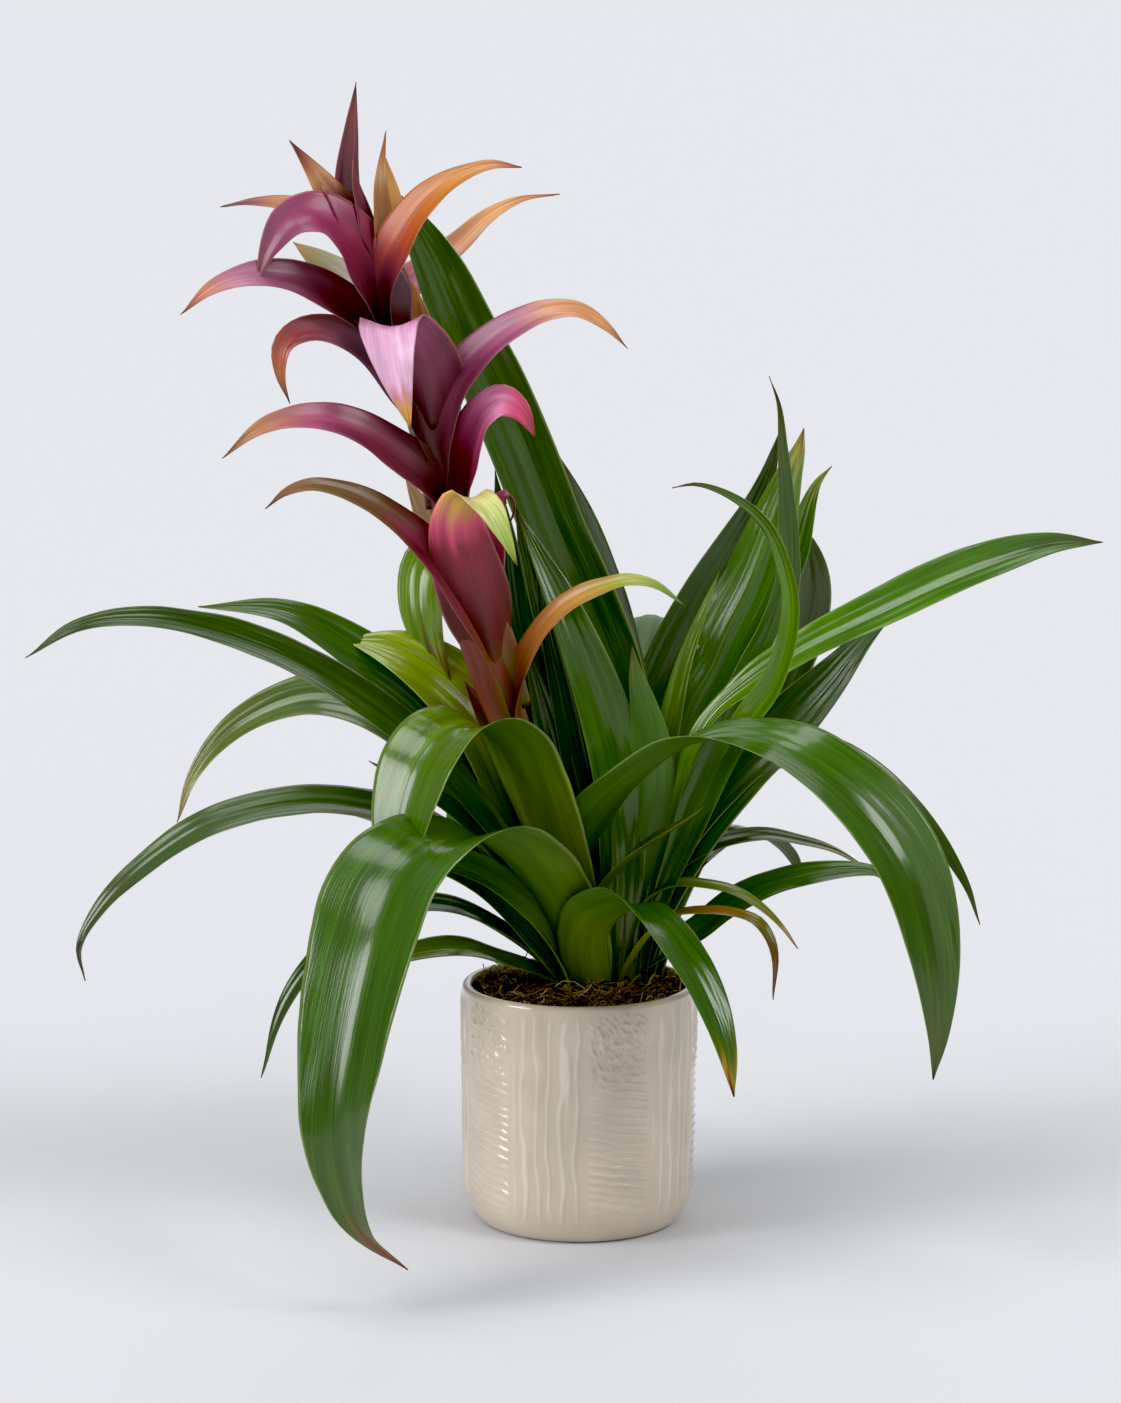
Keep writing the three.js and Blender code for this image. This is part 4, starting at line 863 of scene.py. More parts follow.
def round_body_tree():
    """A closed round body over a spine, with upright ribs and level hatching in turn round it."""
    tree, given = new_tree("round_body_on_a_spine", {
        "Steps Across": "Int", "Steps Along": "Int", "Panels": "Float", "Panel Start": "Float",
        "Rib Share": "Float", "Rib Count": "Float", "Rib Height": "Float", "Rib Waver": "Float",
        "Hatch Pitch": "Float", "Hatch Slant": "Float", "Hatch Height": "Float",
        "Hatch Waver": "Float", "Fleck Height": "Float", "Fleck Size": "Float",
        "Fleck From": "Float", "Lump Height": "Float", "Lump Density": "Float",
        "Lump Stretch": "Float", "Seed": "Float", "Finish": "Material"})
    grid, around, along, spine = skin_over_spine(tree, given, {
        "place": "FLOAT_VECTOR", "side": "FLOAT_VECTOR", "face": "FLOAT_VECTOR",
        "radius": "FLOAT", "distance": "FLOAT", "relief": "FLOAT", "lump_out": "FLOAT",
        "lump_up": "FLOAT"})
    angle = node(tree, MULTIPLY, (around, FULL_TURN))
    cosine = node(tree, COSINE, (angle,))
    sine = node(tree, SINE, (angle,))
    along_side = node(tree, VECTOR_SCALE, {0: spine["side"], "Scale": cosine})
    along_face = node(tree, VECTOR_SCALE, {0: spine["face"], "Scale": sine})
    outward = node(tree, VECTOR_ADD, (along_side, along_face))
    spoke = node(tree, VECTOR_SCALE, {0: outward, "Scale": spine["radius"]})
    bare = node(tree, VECTOR_ADD, (spoke, spine["place"]))
    level = node(tree, SPLIT, (spine["place"],)).outputs["Z"]

    def soft_noise(density, detail, stretch):
        """Noise between -0.5 and 0.5 over the bare body, stretched along Z."""
        squeeze = node(tree, JOINED, (1.0, 1.0, stretch))
        where = node(tree, VECTOR_MULTIPLY, (bare, squeeze))
        noise = node(tree, NOISE, {
            "Vector": where, "W": given["Seed"], "Scale": density, "Detail": detail},
            noise_dimensions="4D")
        return node(tree, SUBTRACT, (noise, 0.5))

    def crest(turns, sharpness):
        """A raised line at every whole turn: 1 on the line, 0 between two lines."""
        turned = node(tree, MULTIPLY, (turns, FULL_TURN))
        swing = node(tree, COSINE, (turned,))
        hill = node(tree, MULTIPLY_ADD, (swing, 0.5, 0.5))
        return node(tree, POWER, (hill, sharpness))

    turned_panels = node(tree, MULTIPLY_ADD, (around, given["Panels"], given["Panel Start"]))
    panel = node(tree, FRACT, (turned_panels,))
    # How much of the body is ribbed and hatched here: each panel fades out at its two borders.
    masks = []
    for start, end in ((0.0, given["Rib Share"]), (given["Rib Share"], 1.0)):
        inner = node(tree, ADD, (start, PANEL_FADE))
        outer = node(tree, SUBTRACT, (end, PANEL_FADE))
        opens = node(tree, RANGE, {"Value": panel, "From Min": start, "From Max": inner},
                     interpolation_type="SMOOTHSTEP")
        closes = node(tree, RANGE, {
            "Value": panel, "From Min": outer, "From Max": end, "To Min": 1.0, "To Max": 0.0},
            interpolation_type="SMOOTHSTEP")
        masks.append(node(tree, MULTIPLY, (opens, closes)))
    ribbed, hatched = masks

    # Ribs: thin raised lines that waver and now and then run together.
    rib_waver = node(tree, MULTIPLY, (soft_noise(*RIB_NOISE), given["Rib Waver"]))
    rib_turn = node(tree, MULTIPLY_ADD, (around, given["Rib Count"], rib_waver))
    rib_here = node(tree, MULTIPLY, (crest(rib_turn, RIB_SHARPNESS), ribbed))
    rib_rise = node(tree, MULTIPLY, (rib_here, given["Rib Height"]))

    # Hatching: level lines that sag to the right and fade in and out, with short slanted flecks
    # instead of them towards the top.
    hatch_waver = node(tree, MULTIPLY, (soft_noise(*HATCH_NOISE), given["Hatch Waver"]))
    sag = node(tree, MULTIPLY_ADD, (panel, given["Hatch Slant"], hatch_waver))
    rows = node(tree, DIVIDE, (level, given["Hatch Pitch"]))
    hatch_turn = node(tree, ADD, (rows, sag))
    fleck_full = node(tree, ADD, (given["Fleck From"], FLECK_BAND * MM))
    upper = node(tree, RANGE, {
        "Value": level, "From Min": given["Fleck From"], "From Max": fleck_full},
        interpolation_type="SMOOTHSTEP")
    faded = node(tree, RANGE, {
        "Value": soft_noise(*FADE_NOISE), "From Min": -0.16, "From Max": 0.12, "To Min": 0.35,
        "To Max": 1.0})
    lower = node(tree, RANGE, {"Value": upper, "To Min": 1.0, "To Max": 0.2})
    faded_lower = node(tree, MULTIPLY, (faded, lower))
    hatch_share = node(tree, MULTIPLY, (faded_lower, hatched))
    hatch_here = node(tree, MULTIPLY, (crest(hatch_turn, HATCH_SHARPNESS), hatch_share))
    hatch_rise = node(tree, MULTIPLY, (hatch_here, given["Hatch Height"]))
    arc = node(tree, MULTIPLY, (angle, spine["radius"]))
    leaning_x = node(tree, MULTIPLY_ADD, (level, FLECK_LEAN, arc))
    leaning_y = node(tree, MULTIPLY, (level, FLECK_STRETCH))
    fleck_noise = node(tree, NOISE, {
        "Vector": node(tree, JOINED, (leaning_x, leaning_y)),
        "Scale": node(tree, DIVIDE, (1.0, given["Fleck Size"])), "Detail": 1.0})
    fleck = node(tree, RANGE, {"Value": fleck_noise, "From Min": 0.45, "From Max": 0.65})
    fleck_share = node(tree, MULTIPLY, (upper, hatched))
    fleck_here = node(tree, MULTIPLY, (fleck, fleck_share))
    fleck_rise = node(tree, MULTIPLY_ADD, (fleck_here, given["Fleck Height"], hatch_rise))

    rise = node(tree, ADD, (rib_rise, fleck_rise))
    rise_here = node(tree, MULTIPLY, (rise, spine["relief"]))
    # The raised lines are painted a paler cream as a highlight: a rib in full, hatching and flecks in
    # part.
    rib_and_hatch_highlight = node(tree, MULTIPLY_ADD, (hatch_here, HATCH_HIGHLIGHT_SHARE, rib_here))
    painted_highlight_marks = node(tree, MULTIPLY_ADD, (fleck_here, FLECK_HIGHLIGHT_SHARE, rib_and_hatch_highlight))
    ridge_highlight_here = node(tree, MULTIPLY, (painted_highlight_marks, spine["relief"]))

    lump_noise = soft_noise(given["Lump Density"], LUMP_DETAIL, given["Lump Stretch"])
    lump = node(tree, MULTIPLY, (lump_noise, given["Lump Height"]))
    lump_out = node(tree, MULTIPLY, (lump, spine["lump_out"]))
    radial = node(tree, ADD, (lump_out, rise_here))
    radius = node(tree, ADD, (spine["radius"], radial))
    lump_up = node(tree, MULTIPLY, (lump, spine["lump_up"]))
    upward = node(tree, JOINED, {"Z": lump_up})
    reach = node(tree, VECTOR_SCALE, {0: outward, "Scale": radius})
    centre = node(tree, VECTOR_ADD, (spine["place"], upward))
    place = node(tree, VECTOR_ADD, (reach, centre))

    unrolled = node(tree, JOINED, (arc, spine["distance"]))
    sheet = keep_fields(tree, grid, {
        "across": (around, "FLOAT", "POINT"), "along": (along, "FLOAT", "POINT"),
        "ridge": (ridge_highlight_here, "FLOAT", "POINT"), "UVMap": (unrolled, "FLOAT2", "CORNER")})
    moved = node(tree, "GeometryNodeSetPosition", {"Geometry": sheet, "Position": place})
    finished = node(tree, "GeometryNodeSetMaterial", {
        "Geometry": closed_skin(tree, moved), "Material": given["Finish"]})
    node(tree, "NodeGroupOutput", {"Geometry": finished})
    return tree


def strand_tree():
    """Curly fibres strewn over the level parts of a surface, inside a round wall."""
    tree, given = new_tree("strewn_fibres", {
        "Density": "Float", "Fibre Length": "Float", "Fibre Radius": "Float", "Curl": "Float",
        "Curl Density": "Float", "Wall Radius": "Float", "Lift": "Float", "Steps": "Int",
        "Seed": "Int", "Finish": "Material"})
    normal = node(tree, SPLIT, (node(tree, "GeometryNodeInputNormal"),))
    facing_up = node(tree, "FunctionNodeCompare", (normal.outputs["Z"], FACING_UP),
                     operation="GREATER_THAN")
    points = node(tree, "GeometryNodeDistributePointsOnFaces", {
        "Mesh": given["Geometry"], "Selection": facing_up, "Density": given["Density"],
        "Seed": given["Seed"]})
    own = node(tree, "FunctionNodeRandomValue", {"Seed": given["Seed"]}, data_type="FLOAT")
    named = keep_fields(tree, points, {"strand": (own.outputs[1], "FLOAT", "POINT")})
    half_length = node(tree, MULTIPLY, (given["Fibre Length"], 0.5))
    back = node(tree, MULTIPLY, (half_length, -1.0))
    line = node(tree, "GeometryNodeCurvePrimitiveLine", {
        "Start": node(tree, JOINED, (back,)), "End": node(tree, JOINED, (half_length,))})
    fine = node(tree, "GeometryNodeResampleCurve", {"Curve": line, "Count": given["Steps"]})
    roll, pitch = STRAND_TILT
    turn = node(tree, "FunctionNodeRandomValue", {
        0: (-roll, -pitch, 0.0), 1: (roll, pitch, FULL_TURN), "Seed": 7}, data_type="FLOAT_VECTOR")
    smallest, largest = STRAND_SIZES
    size = node(tree, "FunctionNodeRandomValue", {2: smallest, 3: largest, "Seed": 11},
                data_type="FLOAT")
    placed = node(tree, "GeometryNodeInstanceOnPoints", {
        "Points": named, "Instance": fine, "Rotation": turn.outputs[0], "Scale": size.outputs[1]})
    real = node(tree, "GeometryNodeRealizeInstances", {"Geometry": placed})
    position = node(tree, "GeometryNodeInputPosition")
    strand = node(tree, STORED, {"Name": "strand"}, data_type="FLOAT")
    apart = node(tree, MULTIPLY, (strand, STRAND_SPREAD))
    noise = node(tree, NOISE, {
        "Vector": position, "W": apart, "Scale": given["Curl Density"], "Detail": 1.0},
        noise_dimensions="4D")
    centred = node(tree, VECTOR_SUBTRACT, (noise.outputs["Color"], (0.5, 0.5, 0.5)))
    curl = node(tree, VECTOR_SCALE, {0: centred, "Scale": given["Curl"]})
    moved = node(tree, VECTOR_ADD, (position, curl))
    level = node(tree, VECTOR_MULTIPLY, (moved, (1.0, 1.0, 0.0)))
    far = node(tree, VECTOR_LENGTH, (level,))
    held = node(tree, DIVIDE, (given["Wall Radius"], far.outputs["Value"]))
    inside = node(tree, MINIMUM, (held, 1.0))
    kept = node(tree, VECTOR_SCALE, {0: level, "Scale": inside})
    height = node(tree, SPLIT, (moved,))
    lifted = node(tree, ADD, (height.outputs["Z"], given["Lift"]))
    place = node(tree, VECTOR_ADD, (kept, node(tree, JOINED, {"Z": lifted})))
    curly = node(tree, "GeometryNodeSetPosition", {"Geometry": real, "Position": place})
    section = node(tree, "GeometryNodeCurvePrimitiveCircle", {
        "Resolution": STRAND_SIDES, "Radius": given["Fibre Radius"]})
    fibres = node(tree, "GeometryNodeCurveToMesh", {"Curve": curly, "Profile Curve": section})
    solid = node(tree, "GeometryNodeRealizeInstances", {"Geometry": fibres})
    finished = node(tree, "GeometryNodeSetMaterial", {"Geometry": solid, "Material": given["Finish"]})
    node(tree, "NodeGroupOutput", {"Geometry": finished})
    return tree


def grow(name, guide, tree, inputs):
    """The plain piece that a tree grows from a guide mesh."""
    guide_object = bpy.data.objects.new(name + "_guide", guide)
    bpy.context.scene.collection.objects.link(guide_object)
    modifier = guide_object.modifiers.new("growth", "NODES")
    modifier.node_group = tree
    sockets = {item.name: item.identifier for item in tree.interface.items_tree
               if item.in_out == "INPUT"}
    for label, value in inputs.items():
        modifier[sockets[label]] = value
    evaluated = guide_object.evaluated_get(bpy.context.evaluated_depsgraph_get())
    mesh = bpy.data.meshes.new_from_object(evaluated)
    bpy.data.objects.remove(guide_object)
    mesh.name = name
    piece = bpy.data.objects.new(name, mesh)
    bpy.context.scene.collection.objects.link(piece)
    return piece


def settle(piece, slot, *nodes):
    """The piece stands for the nodes and rides with the pot. Its slot is not used."""
    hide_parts(*nodes)
    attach(piece, "root")


def paint(piece, stops, seed, wander):
    """Colours a piece from its root to its tip, unevenly from one lengthwise strip to the next."""
    mesh = piece.data
    read = {}
    for field in ("along", "across"):
        read[field] = np.empty(len(mesh.vertices), np.float32)
        mesh.attributes[field].data.foreach_get("value", read[field])
    random = np.random.default_rng(seed)
    strips = random.uniform(-1, 1, TINT_STRIPS)
    shift = np.interp(read["across"], np.linspace(-1, 1, TINT_STRIPS), strips)
    place = np.clip(read["along"] + wander * shift, 0, 1)
    shares = [share for share, _ in stops]
    channels = zip(*(linear(colour) for _, colour in stops))
    tint = np.stack([np.interp(place, shares, channel) for channel in channels], axis=1)
    layer = mesh.color_attributes.new("tint", "FLOAT_COLOR", "POINT")
    layer.data.foreach_set("color", tint.astype(np.float32).ravel())


# Finishes.

def plant_tissue(name, tone, vein_pitch, vein_contrast, margin_and_rim_light, margin_and_rim_light_share, paleness_and_sheen, paleness_and_sheen_share,
                 **constants):
    """Plant tissue over its own tint: veins, a pale thin margin that is partly painted rim light,
    and a thin veil that is partly the skin's own paleness and partly a painted sheen.
    """
    finish, tree, shader = new_finish(name, **constants)
    unrolled = node(tree, "ShaderNodeUVMap", uv_map="UVMap")
    tint = node(tree, ATTRIBUTE, attribute_name="tint").outputs["Color"]
    # Veins and streaks run the length of the blade: noise that is drawn out along it.
    vein_place = node(tree, "ShaderNodeMapping", {
        "Vector": unrolled, "Scale": (1 / (vein_pitch * MM), 1 / (VEIN_LENGTH * MM), 1)})
    vein = node(tree, NOISE, {
        "Vector": vein_place, "Scale": 1.0, "Detail": 3.0, "Roughness": 0.6})
    streak_place = node(tree, "ShaderNodeMapping", {
        "Vector": unrolled, "Scale": (1 / (STREAK_WIDTH * MM), 1 / (STREAK_LENGTH * MM), 1)})
    streak = node(tree, NOISE, {"Vector": streak_place, "Scale": 1.0, "Detail": 2.0})
    dark = node(tree, RANGE, {
        "Value": vein, **NOISE_SPAN, "To Min": 1 - vein_contrast, "To Max": 1 + vein_contrast})
    dull, bright = STREAK_TONES
    patch = node(tree, RANGE, {
        "Value": streak, **NOISE_SPAN, "To Min": dull * tone, "To Max": bright * tone})
    shade = node(tree, MULTIPLY, (dark, patch))
    toned = node(tree, VECTOR_SCALE, {0: tint, "Scale": shade})
    # A thin veil of one colour over the tint: partly the skin's own paleness, partly a painted sheen.
    pale_and_sheened = node(tree, "ShaderNodeMix", {
        MIX_FACTOR: paleness_and_sheen_share, MIX_A: toned, MIX_B: linear(paleness_and_sheen)}, data_type="RGBA")
    # A pale margin along both edges: partly the blade's own paler edge, partly painted rim light.
    across = node(tree, ATTRIBUTE, attribute_name="across").outputs["Fac"]
    outward = node(tree, ABSOLUTE, (across,))
    rim_light_edge = node(tree, RANGE, {
        "Value": outward, "From Min": MARGIN_AND_RIM_LIGHT_FROM, "From Max": 1.0, "To Min": 0.0,
        "To Max": margin_and_rim_light_share})
    rim_lit = node(tree, "ShaderNodeMix", {
        MIX_FACTOR: rim_light_edge, MIX_A: pale_and_sheened.outputs[MIX_RESULT], MIX_B: linear(margin_and_rim_light)},
        data_type="RGBA")
    least = shader.inputs["Roughness"].default_value
    rough = node(tree, RANGE, {
        "Value": vein, **NOISE_SPAN, "To Min": least, "To Max": least + VEIN_DULLNESS})
    bump = node(tree, "ShaderNodeBump", {
        "Strength": 0.7, "Distance": VEIN_DEPTH * MM, "Height": vein})
    tree.links.new(rim_lit.outputs[MIX_RESULT], shader.inputs["Base Color"])
    tree.links.new(rough.outputs[0], shader.inputs["Roughness"])
    tree.links.new(bump.outputs[0], shader.inputs["Normal"])
    return finish


def glazed_stoneware():
    """Stoneware under a glossy cream glaze, with the raised lines painted a paler cream as a highlight."""
    finish, tree, shader = new_finish(
        "glazed_stoneware", Roughness=0.16, IOR=1.52, Coat_Weight=0.6, Coat_Roughness=0.04)
    ridge = node(tree, ATTRIBUTE, attribute_name="ridge").outputs["Fac"]
    place = node(tree, "ShaderNodeTexCoord").outputs["Object"]
    # A painted highlight: the raised lines are a paler cream.
    highlit_glaze = node(tree, "ShaderNodeValToRGB", (ridge,), stops=[(0, "#cbbba8"), (1, "#dacebf")])
    cloud = node(tree, NOISE, {"Vector": place, "Scale": 1 / (28 * MM), "Detail": 3.0})
    cloudy = node(tree, RANGE, {"Value": cloud, **NOISE_SPAN, "To Min": 0.93, "To Max": 1.06})
    toned = node(tree, VECTOR_SCALE, {0: highlit_glaze, "Scale": cloudy})
    # The glaze lies in soft dimples about 4 mm apart.
    dimple = node(tree, NOISE, {"Vector": place, "Scale": 1 / (4 * MM), "Detail": 2.0})
    bump = node(tree, "ShaderNodeBump", {"Strength": 0.25, "Distance": 0.3 * MM, "Height": dimple})
    gloss = node(tree, RANGE, {"Value": cloud, "To Min": 0.1, "To Max": 0.2})
    tree.links.new(toned.outputs[0], shader.inputs["Base Color"])
    tree.links.new(bump.outputs[0], shader.inputs["Normal"])
    tree.links.new(bump.outputs[0], shader.inputs["Coat Normal"])
    tree.links.new(gloss.outputs[0], shader.inputs["Roughness"])
    return finish


def coir_peat():
    """Damp coir crumb: dark, matt and grainy, with paler chips."""
    finish, tree, shader = new_finish("coir_peat", Roughness=0.95, Specular_IOR_Level=0.2)
    place = node(tree, "ShaderNodeTexCoord").outputs["Object"]
    crumb = node(tree, NOISE, {"Vector": place, "Scale": 1 / (3 * MM), "Detail": 5.0})
    colour = node(tree, "ShaderNodeValToRGB", (crumb,), stops=[
        (0.3, "#0c0705"), (0.75, "#4a3420"), (0.5, "#1e120a")])
    bump = node(tree, "ShaderNodeBump", {"Strength": 0.9, "Distance": 1.5 * MM, "Height": crumb})
    tree.links.new(colour.outputs[0], shader.inputs["Base Color"])
    tree.links.new(bump.outputs[0], shader.inputs["Normal"])
    return finish


def coir_fibre():
    """Dry coconut fibre: each strand its own brown, from near black to straw."""
    finish, tree, shader = new_finish("coir_fibre", Roughness=0.7, Specular_IOR_Level=0.3)
    strand = node(tree, ATTRIBUTE, attribute_name="strand").outputs["Fac"]
    place = node(tree, "ShaderNodeTexCoord").outputs["Object"]
    patch = node(tree, NOISE, {"Vector": place, "Scale": 1 / (6 * MM), "Detail": 1.0})
    colour = node(tree, "ShaderNodeValToRGB", (strand,), stops=[
        (0.0, "#24170e"), (1.0, "#cdb08a"), (0.35, "#5c422a"), (0.7, "#9a7850")])
    shade = node(tree, RANGE, {"Value": patch, **NOISE_SPAN, "To Min": 0.35, "To Max": 1.25})
    toned = node(tree, VECTOR_SCALE, {0: colour, "Scale": shade})
    tree.links.new(toned.outputs[0], shader.inputs["Base Color"])
    return finish


# Pieces.

def blade_spine(name, points, width, turn, outline, base_angle, fold):
    """Stations of a blade: its middle line, the way to its side and face, width and channel."""
    length = np.linalg.norm(np.diff(np.array(points), axis=0), axis=1).sum()
    count = int(np.clip(length / STATION_PITCH, *STATION_COUNTS))
    places, directions, distance = walk(points, count)
    along = np.linspace(0, 1, count)
    root = points[0]
    far = max(points, key=lambda point: math.hypot(point[0] - root[0], point[1] - root[1]))
    heading = np.array((far[0] - root[0], far[1] - root[1], 0.0))
    heading /= np.linalg.norm(heading)
    level = np.array((heading[1], -heading[0], 0.0))
    side = level - directions * (directions @ level)[:, None]
    side /= np.linalg.norm(side, axis=1)[:, None]
    face = np.cross(side, directions)
    angle = np.radians(turn[0] + (turn[1] - turn[0]) * along)[:, None] * np.sign(heading[0])
    cosine, sine = np.cos(angle), np.sin(angle)
    side, face = side * cosine - face * sine, face * cosine + side * sine
    half = np.maximum(width * outline(along), TIP_WIDTH) / 2
    rise = np.radians(fold + (base_angle - fold) * (1 - smooth(along, 0, CLASP_SHARE)))
    fields = {"place": places * MM, "side": side, "face": face, "half": half * MM, "rise": rise,
              "distance": distance * MM}
    return spine_mesh(name, fields), count


def tapered(along, taper):
    start, power = taper
    return 1 - np.maximum(0, (along - start) / (1 - start)) ** power


def strap_outline(taper, neck):
    """A leaf: a narrower clasping neck up to a share of the length, then a tip that tapers."""
    narrow, end = neck

    def outline(along):
        widened = sum(part * smooth(along, end + low, end + high) for part, low, high in LEAF_SWELLS)
        return (narrow + (1 - narrow) * widened) * tapered(along, taper)
    return outline


def bract_outline(along):
    """A bract: widest near its clasping base, then drawn out to a long fine tip."""
    swell, end = BRACT_SWELL
    return (BRACT_ROOT + swell * smooth(along, 0, end)) * tapered(along, BRACT_TAPER)


def rooted(foot, stem_at):
    """A point in the coir below a leaf's foot, drawn in towards its stem."""
    inward = ROOT_DRAW * (np.array(stem_at, float) - foot[:2])
    return np.array((*(foot[:2] + inward), ROOT_HEIGHT))


def grow_blade(piece_name, name, points, blade, outline, growth, tree, own):
    """A leaf or bract over its spine, with the inputs that all blades of its growth share."""
    width = blade["width"]
    guide, count = blade_spine(name, points, width, blade["turn"], outline, growth["base_angle"],
                               blade.get("fold", OPEN_ANGLE))
    return grow(piece_name, guide, tree, {
        "Steps Across": growth["steps"], "Steps Along": count,
        "Thickness": growth["thickness"] * MM, "Roundness": growth["roundness"],
        "Pleat Height": growth["pleat"] * MM, "Wave Height": growth["wave"] * width * MM,
        "Wave Length": growth["wave_length"] * MM, **own})


def add_leaves(tree, upper, under):
    leaves = {**LEFT_LEAVES, **RIGHT_LEAVES, **REAR_LEAVES}
    for seed, (name, leaf) in enumerate(leaves.items()):
        points = [from_front_view(p) for p in leaf.get("seen", ())]
        points = points or [np.array(p, float) for p in leaf["at"]]
        points.insert(0, rooted(points[0], SIDE_STEM_AT if "right" in name else FLOWER_STEM_AT))
        outline = strap_outline(leaf.get("taper", LEAF_TAPER), leaf.get("neck", LEAF_NECK))
        pleats = max(round(leaf["width"] / LEAF_PLEAT_WIDTH), 2)
        piece = grow_blade(name + "_blade", name, points, leaf, outline, LEAF_GROWTH, tree, {
            "Pleats": float(pleats), "Seed": seed * SEED_PITCH, "Upper Finish": upper,
            "Under Finish": under})
        colours = LEAF_COLOURS[name]
        stops = GREENS[colours] if isinstance(colours, str) else colours
        paint(piece, stops, seed, LEAF_GROWTH["wander"])
        settle(piece, "leaf", name)


def add_bracts(tree, upper, under):
    for seed, (name, bract) in enumerate(BRACTS.items(), start=100):
        points = [from_front_view(p) for p in bract["seen"]]
        piece = grow_blade("bract_" + name, name, points, bract, bract_outline, BRACT_GROWTH, tree, {
            "Pleats": float(BRACT_PLEATS), "Seed": seed * SEED_PITCH, "Upper Finish": upper,
            "Under Finish": under})
        paint(piece, BRACT_COLOURS[name], seed, BRACT_GROWTH["wander"])
        settle(piece, "bract", "flower_spike")


def round_spine(name, places, side, face, radius, relief, lump_out, lump_up):
    """Stations of a round body, each field with one value a station."""
    steps = np.linalg.norm(np.diff(np.column_stack((places, radius)), axis=0), axis=1)
    distance = np.concatenate(([0], np.cumsum(steps)))
    return spine_mesh(name, {
        "place": places * MM, "side": side, "face": face, "radius": radius * MM,
        "distance": distance * MM, "relief": relief, "lump_out": lump_out, "lump_up": lump_up})


def stem_spine(name, points, radii, count):
    """Stations of a stem, drawn in to a point at both ends so that it closes."""
    places, directions, _ = walk(points, count)
    side = np.array((1.0, 0, 0)) - directions * directions[:, :1]
    side /= np.linalg.norm(side, axis=1)[:, None]
    face = np.cross(directions, side)
    radius = np.interp(np.linspace(0, 1, count), np.linspace(0, 1, len(radii)), radii)
    repeat = [0, *range(count), count - 1]
    radius = radius[repeat]
    radius[[0, -1]] = 0
    ones = np.ones(len(repeat))
    return round_spine(name, places[repeat], side[repeat], face[repeat], radius, 0 * ones, ones,
                       0 * ones)


def turned_spine(name, profile):
    """Stations of a body turned round the upright axis: (radius, height, relief, lumps) each."""
    radius, height, relief, lumps = np.array(profile, float).T
    places = np.column_stack((0 * height, 0 * height, height))
    side = np.tile((1.0, 0, 0), (len(height), 1))
    face = np.tile((0, 1.0, 0), (len(height), 1))
    return round_spine(name, places, side, face, radius, relief, 0 * lumps, lumps)


def pot_outside(height):
    rounding = min(height / FOOT_CURVE, 1)
    waist = POT_RADIUS - POT_FLARE
    foot = FOOT_RADIUS + (waist - FOOT_RADIUS) * math.sqrt(1 - (1 - rounding) ** 2)
    return foot + POT_FLARE * height / POT_HEIGHT


def pot_inside(height):
    return pot_outside(max(height, CORNER_TOP)) - POT_WALL


def add_pot(tree, finish):
    """The pot's wall from the middle of its underside, up the outside and down the inside."""
    lip = POT_WALL / 2
    shoulder = POT_HEIGHT - lip
    profile = [(share * (FOOT_RADIUS - FOOT_INSET), 0, 0, 0) for share in np.linspace(0, 1, FLAT_STEPS)]
    # The foot's rounding, in steps that are finest where it meets the floor.
    for turn in np.linspace(0, 90, FOOT_STEPS)[1:]:
        height = FOOT_CURVE * (1 - math.cos(math.radians(turn)))
        profile.append((pot_outside(height), height, smooth(height, *RELIEF_START), 0))
    for height in np.linspace(FOOT_CURVE, shoulder, WALL_STEPS)[1:]:
        relief = smooth(height, *RELIEF_START) * (1 - smooth(height, *RELIEF_END))
        profile.append((pot_outside(height), height, relief, 0))
    for turn in np.linspace(0, 180, RIM_STEPS)[1:]:
        angle = math.radians(turn)
        profile.append((pot_outside(POT_HEIGHT) - lip + lip * math.cos(angle),
                        shoulder + lip * math.sin(angle), 0, 0))
    for height in np.linspace(shoulder, CORNER_TOP, INSIDE_STEPS)[1:]:
        profile.append((pot_inside(height), height, 0, 0))
    floor_edge = pot_inside(CORNER_TOP) - CORNER_WIDTH
    profile += [(share * floor_edge, POT_FLOOR, 0, 0) for share in np.linspace(1, 0, FLAT_STEPS)]
    piece = grow("pot_body", turned_spine("pot_body", profile), tree, {
        "Steps Across": POT_STEPS_ROUND, "Steps Along": len(profile), "Panels": float(RIB_PANELS),
        "Panel Start": 1 - (RIB_PANEL_START * RIB_PANELS / 360) % 1, "Rib Share": 0.53,
        "Rib Count": float(RIB_COUNT), "Rib Height": RIB_HEIGHT * MM, "Rib Waver": 1.8,
        "Hatch Pitch": HATCH_PITCH * MM, "Hatch Slant": 3.4, "Hatch Height": HATCH_HEIGHT * MM,
        "Hatch Waver": 1.3, "Fleck Height": FLECK_HEIGHT * MM, "Fleck Size": FLECK_SIZE * MM,
        "Fleck From": FLECK_FROM * MM, "Lump Stretch": 0.5, "Seed": 4.0, "Finish": finish})
    settle(piece, "glaze", "pot")


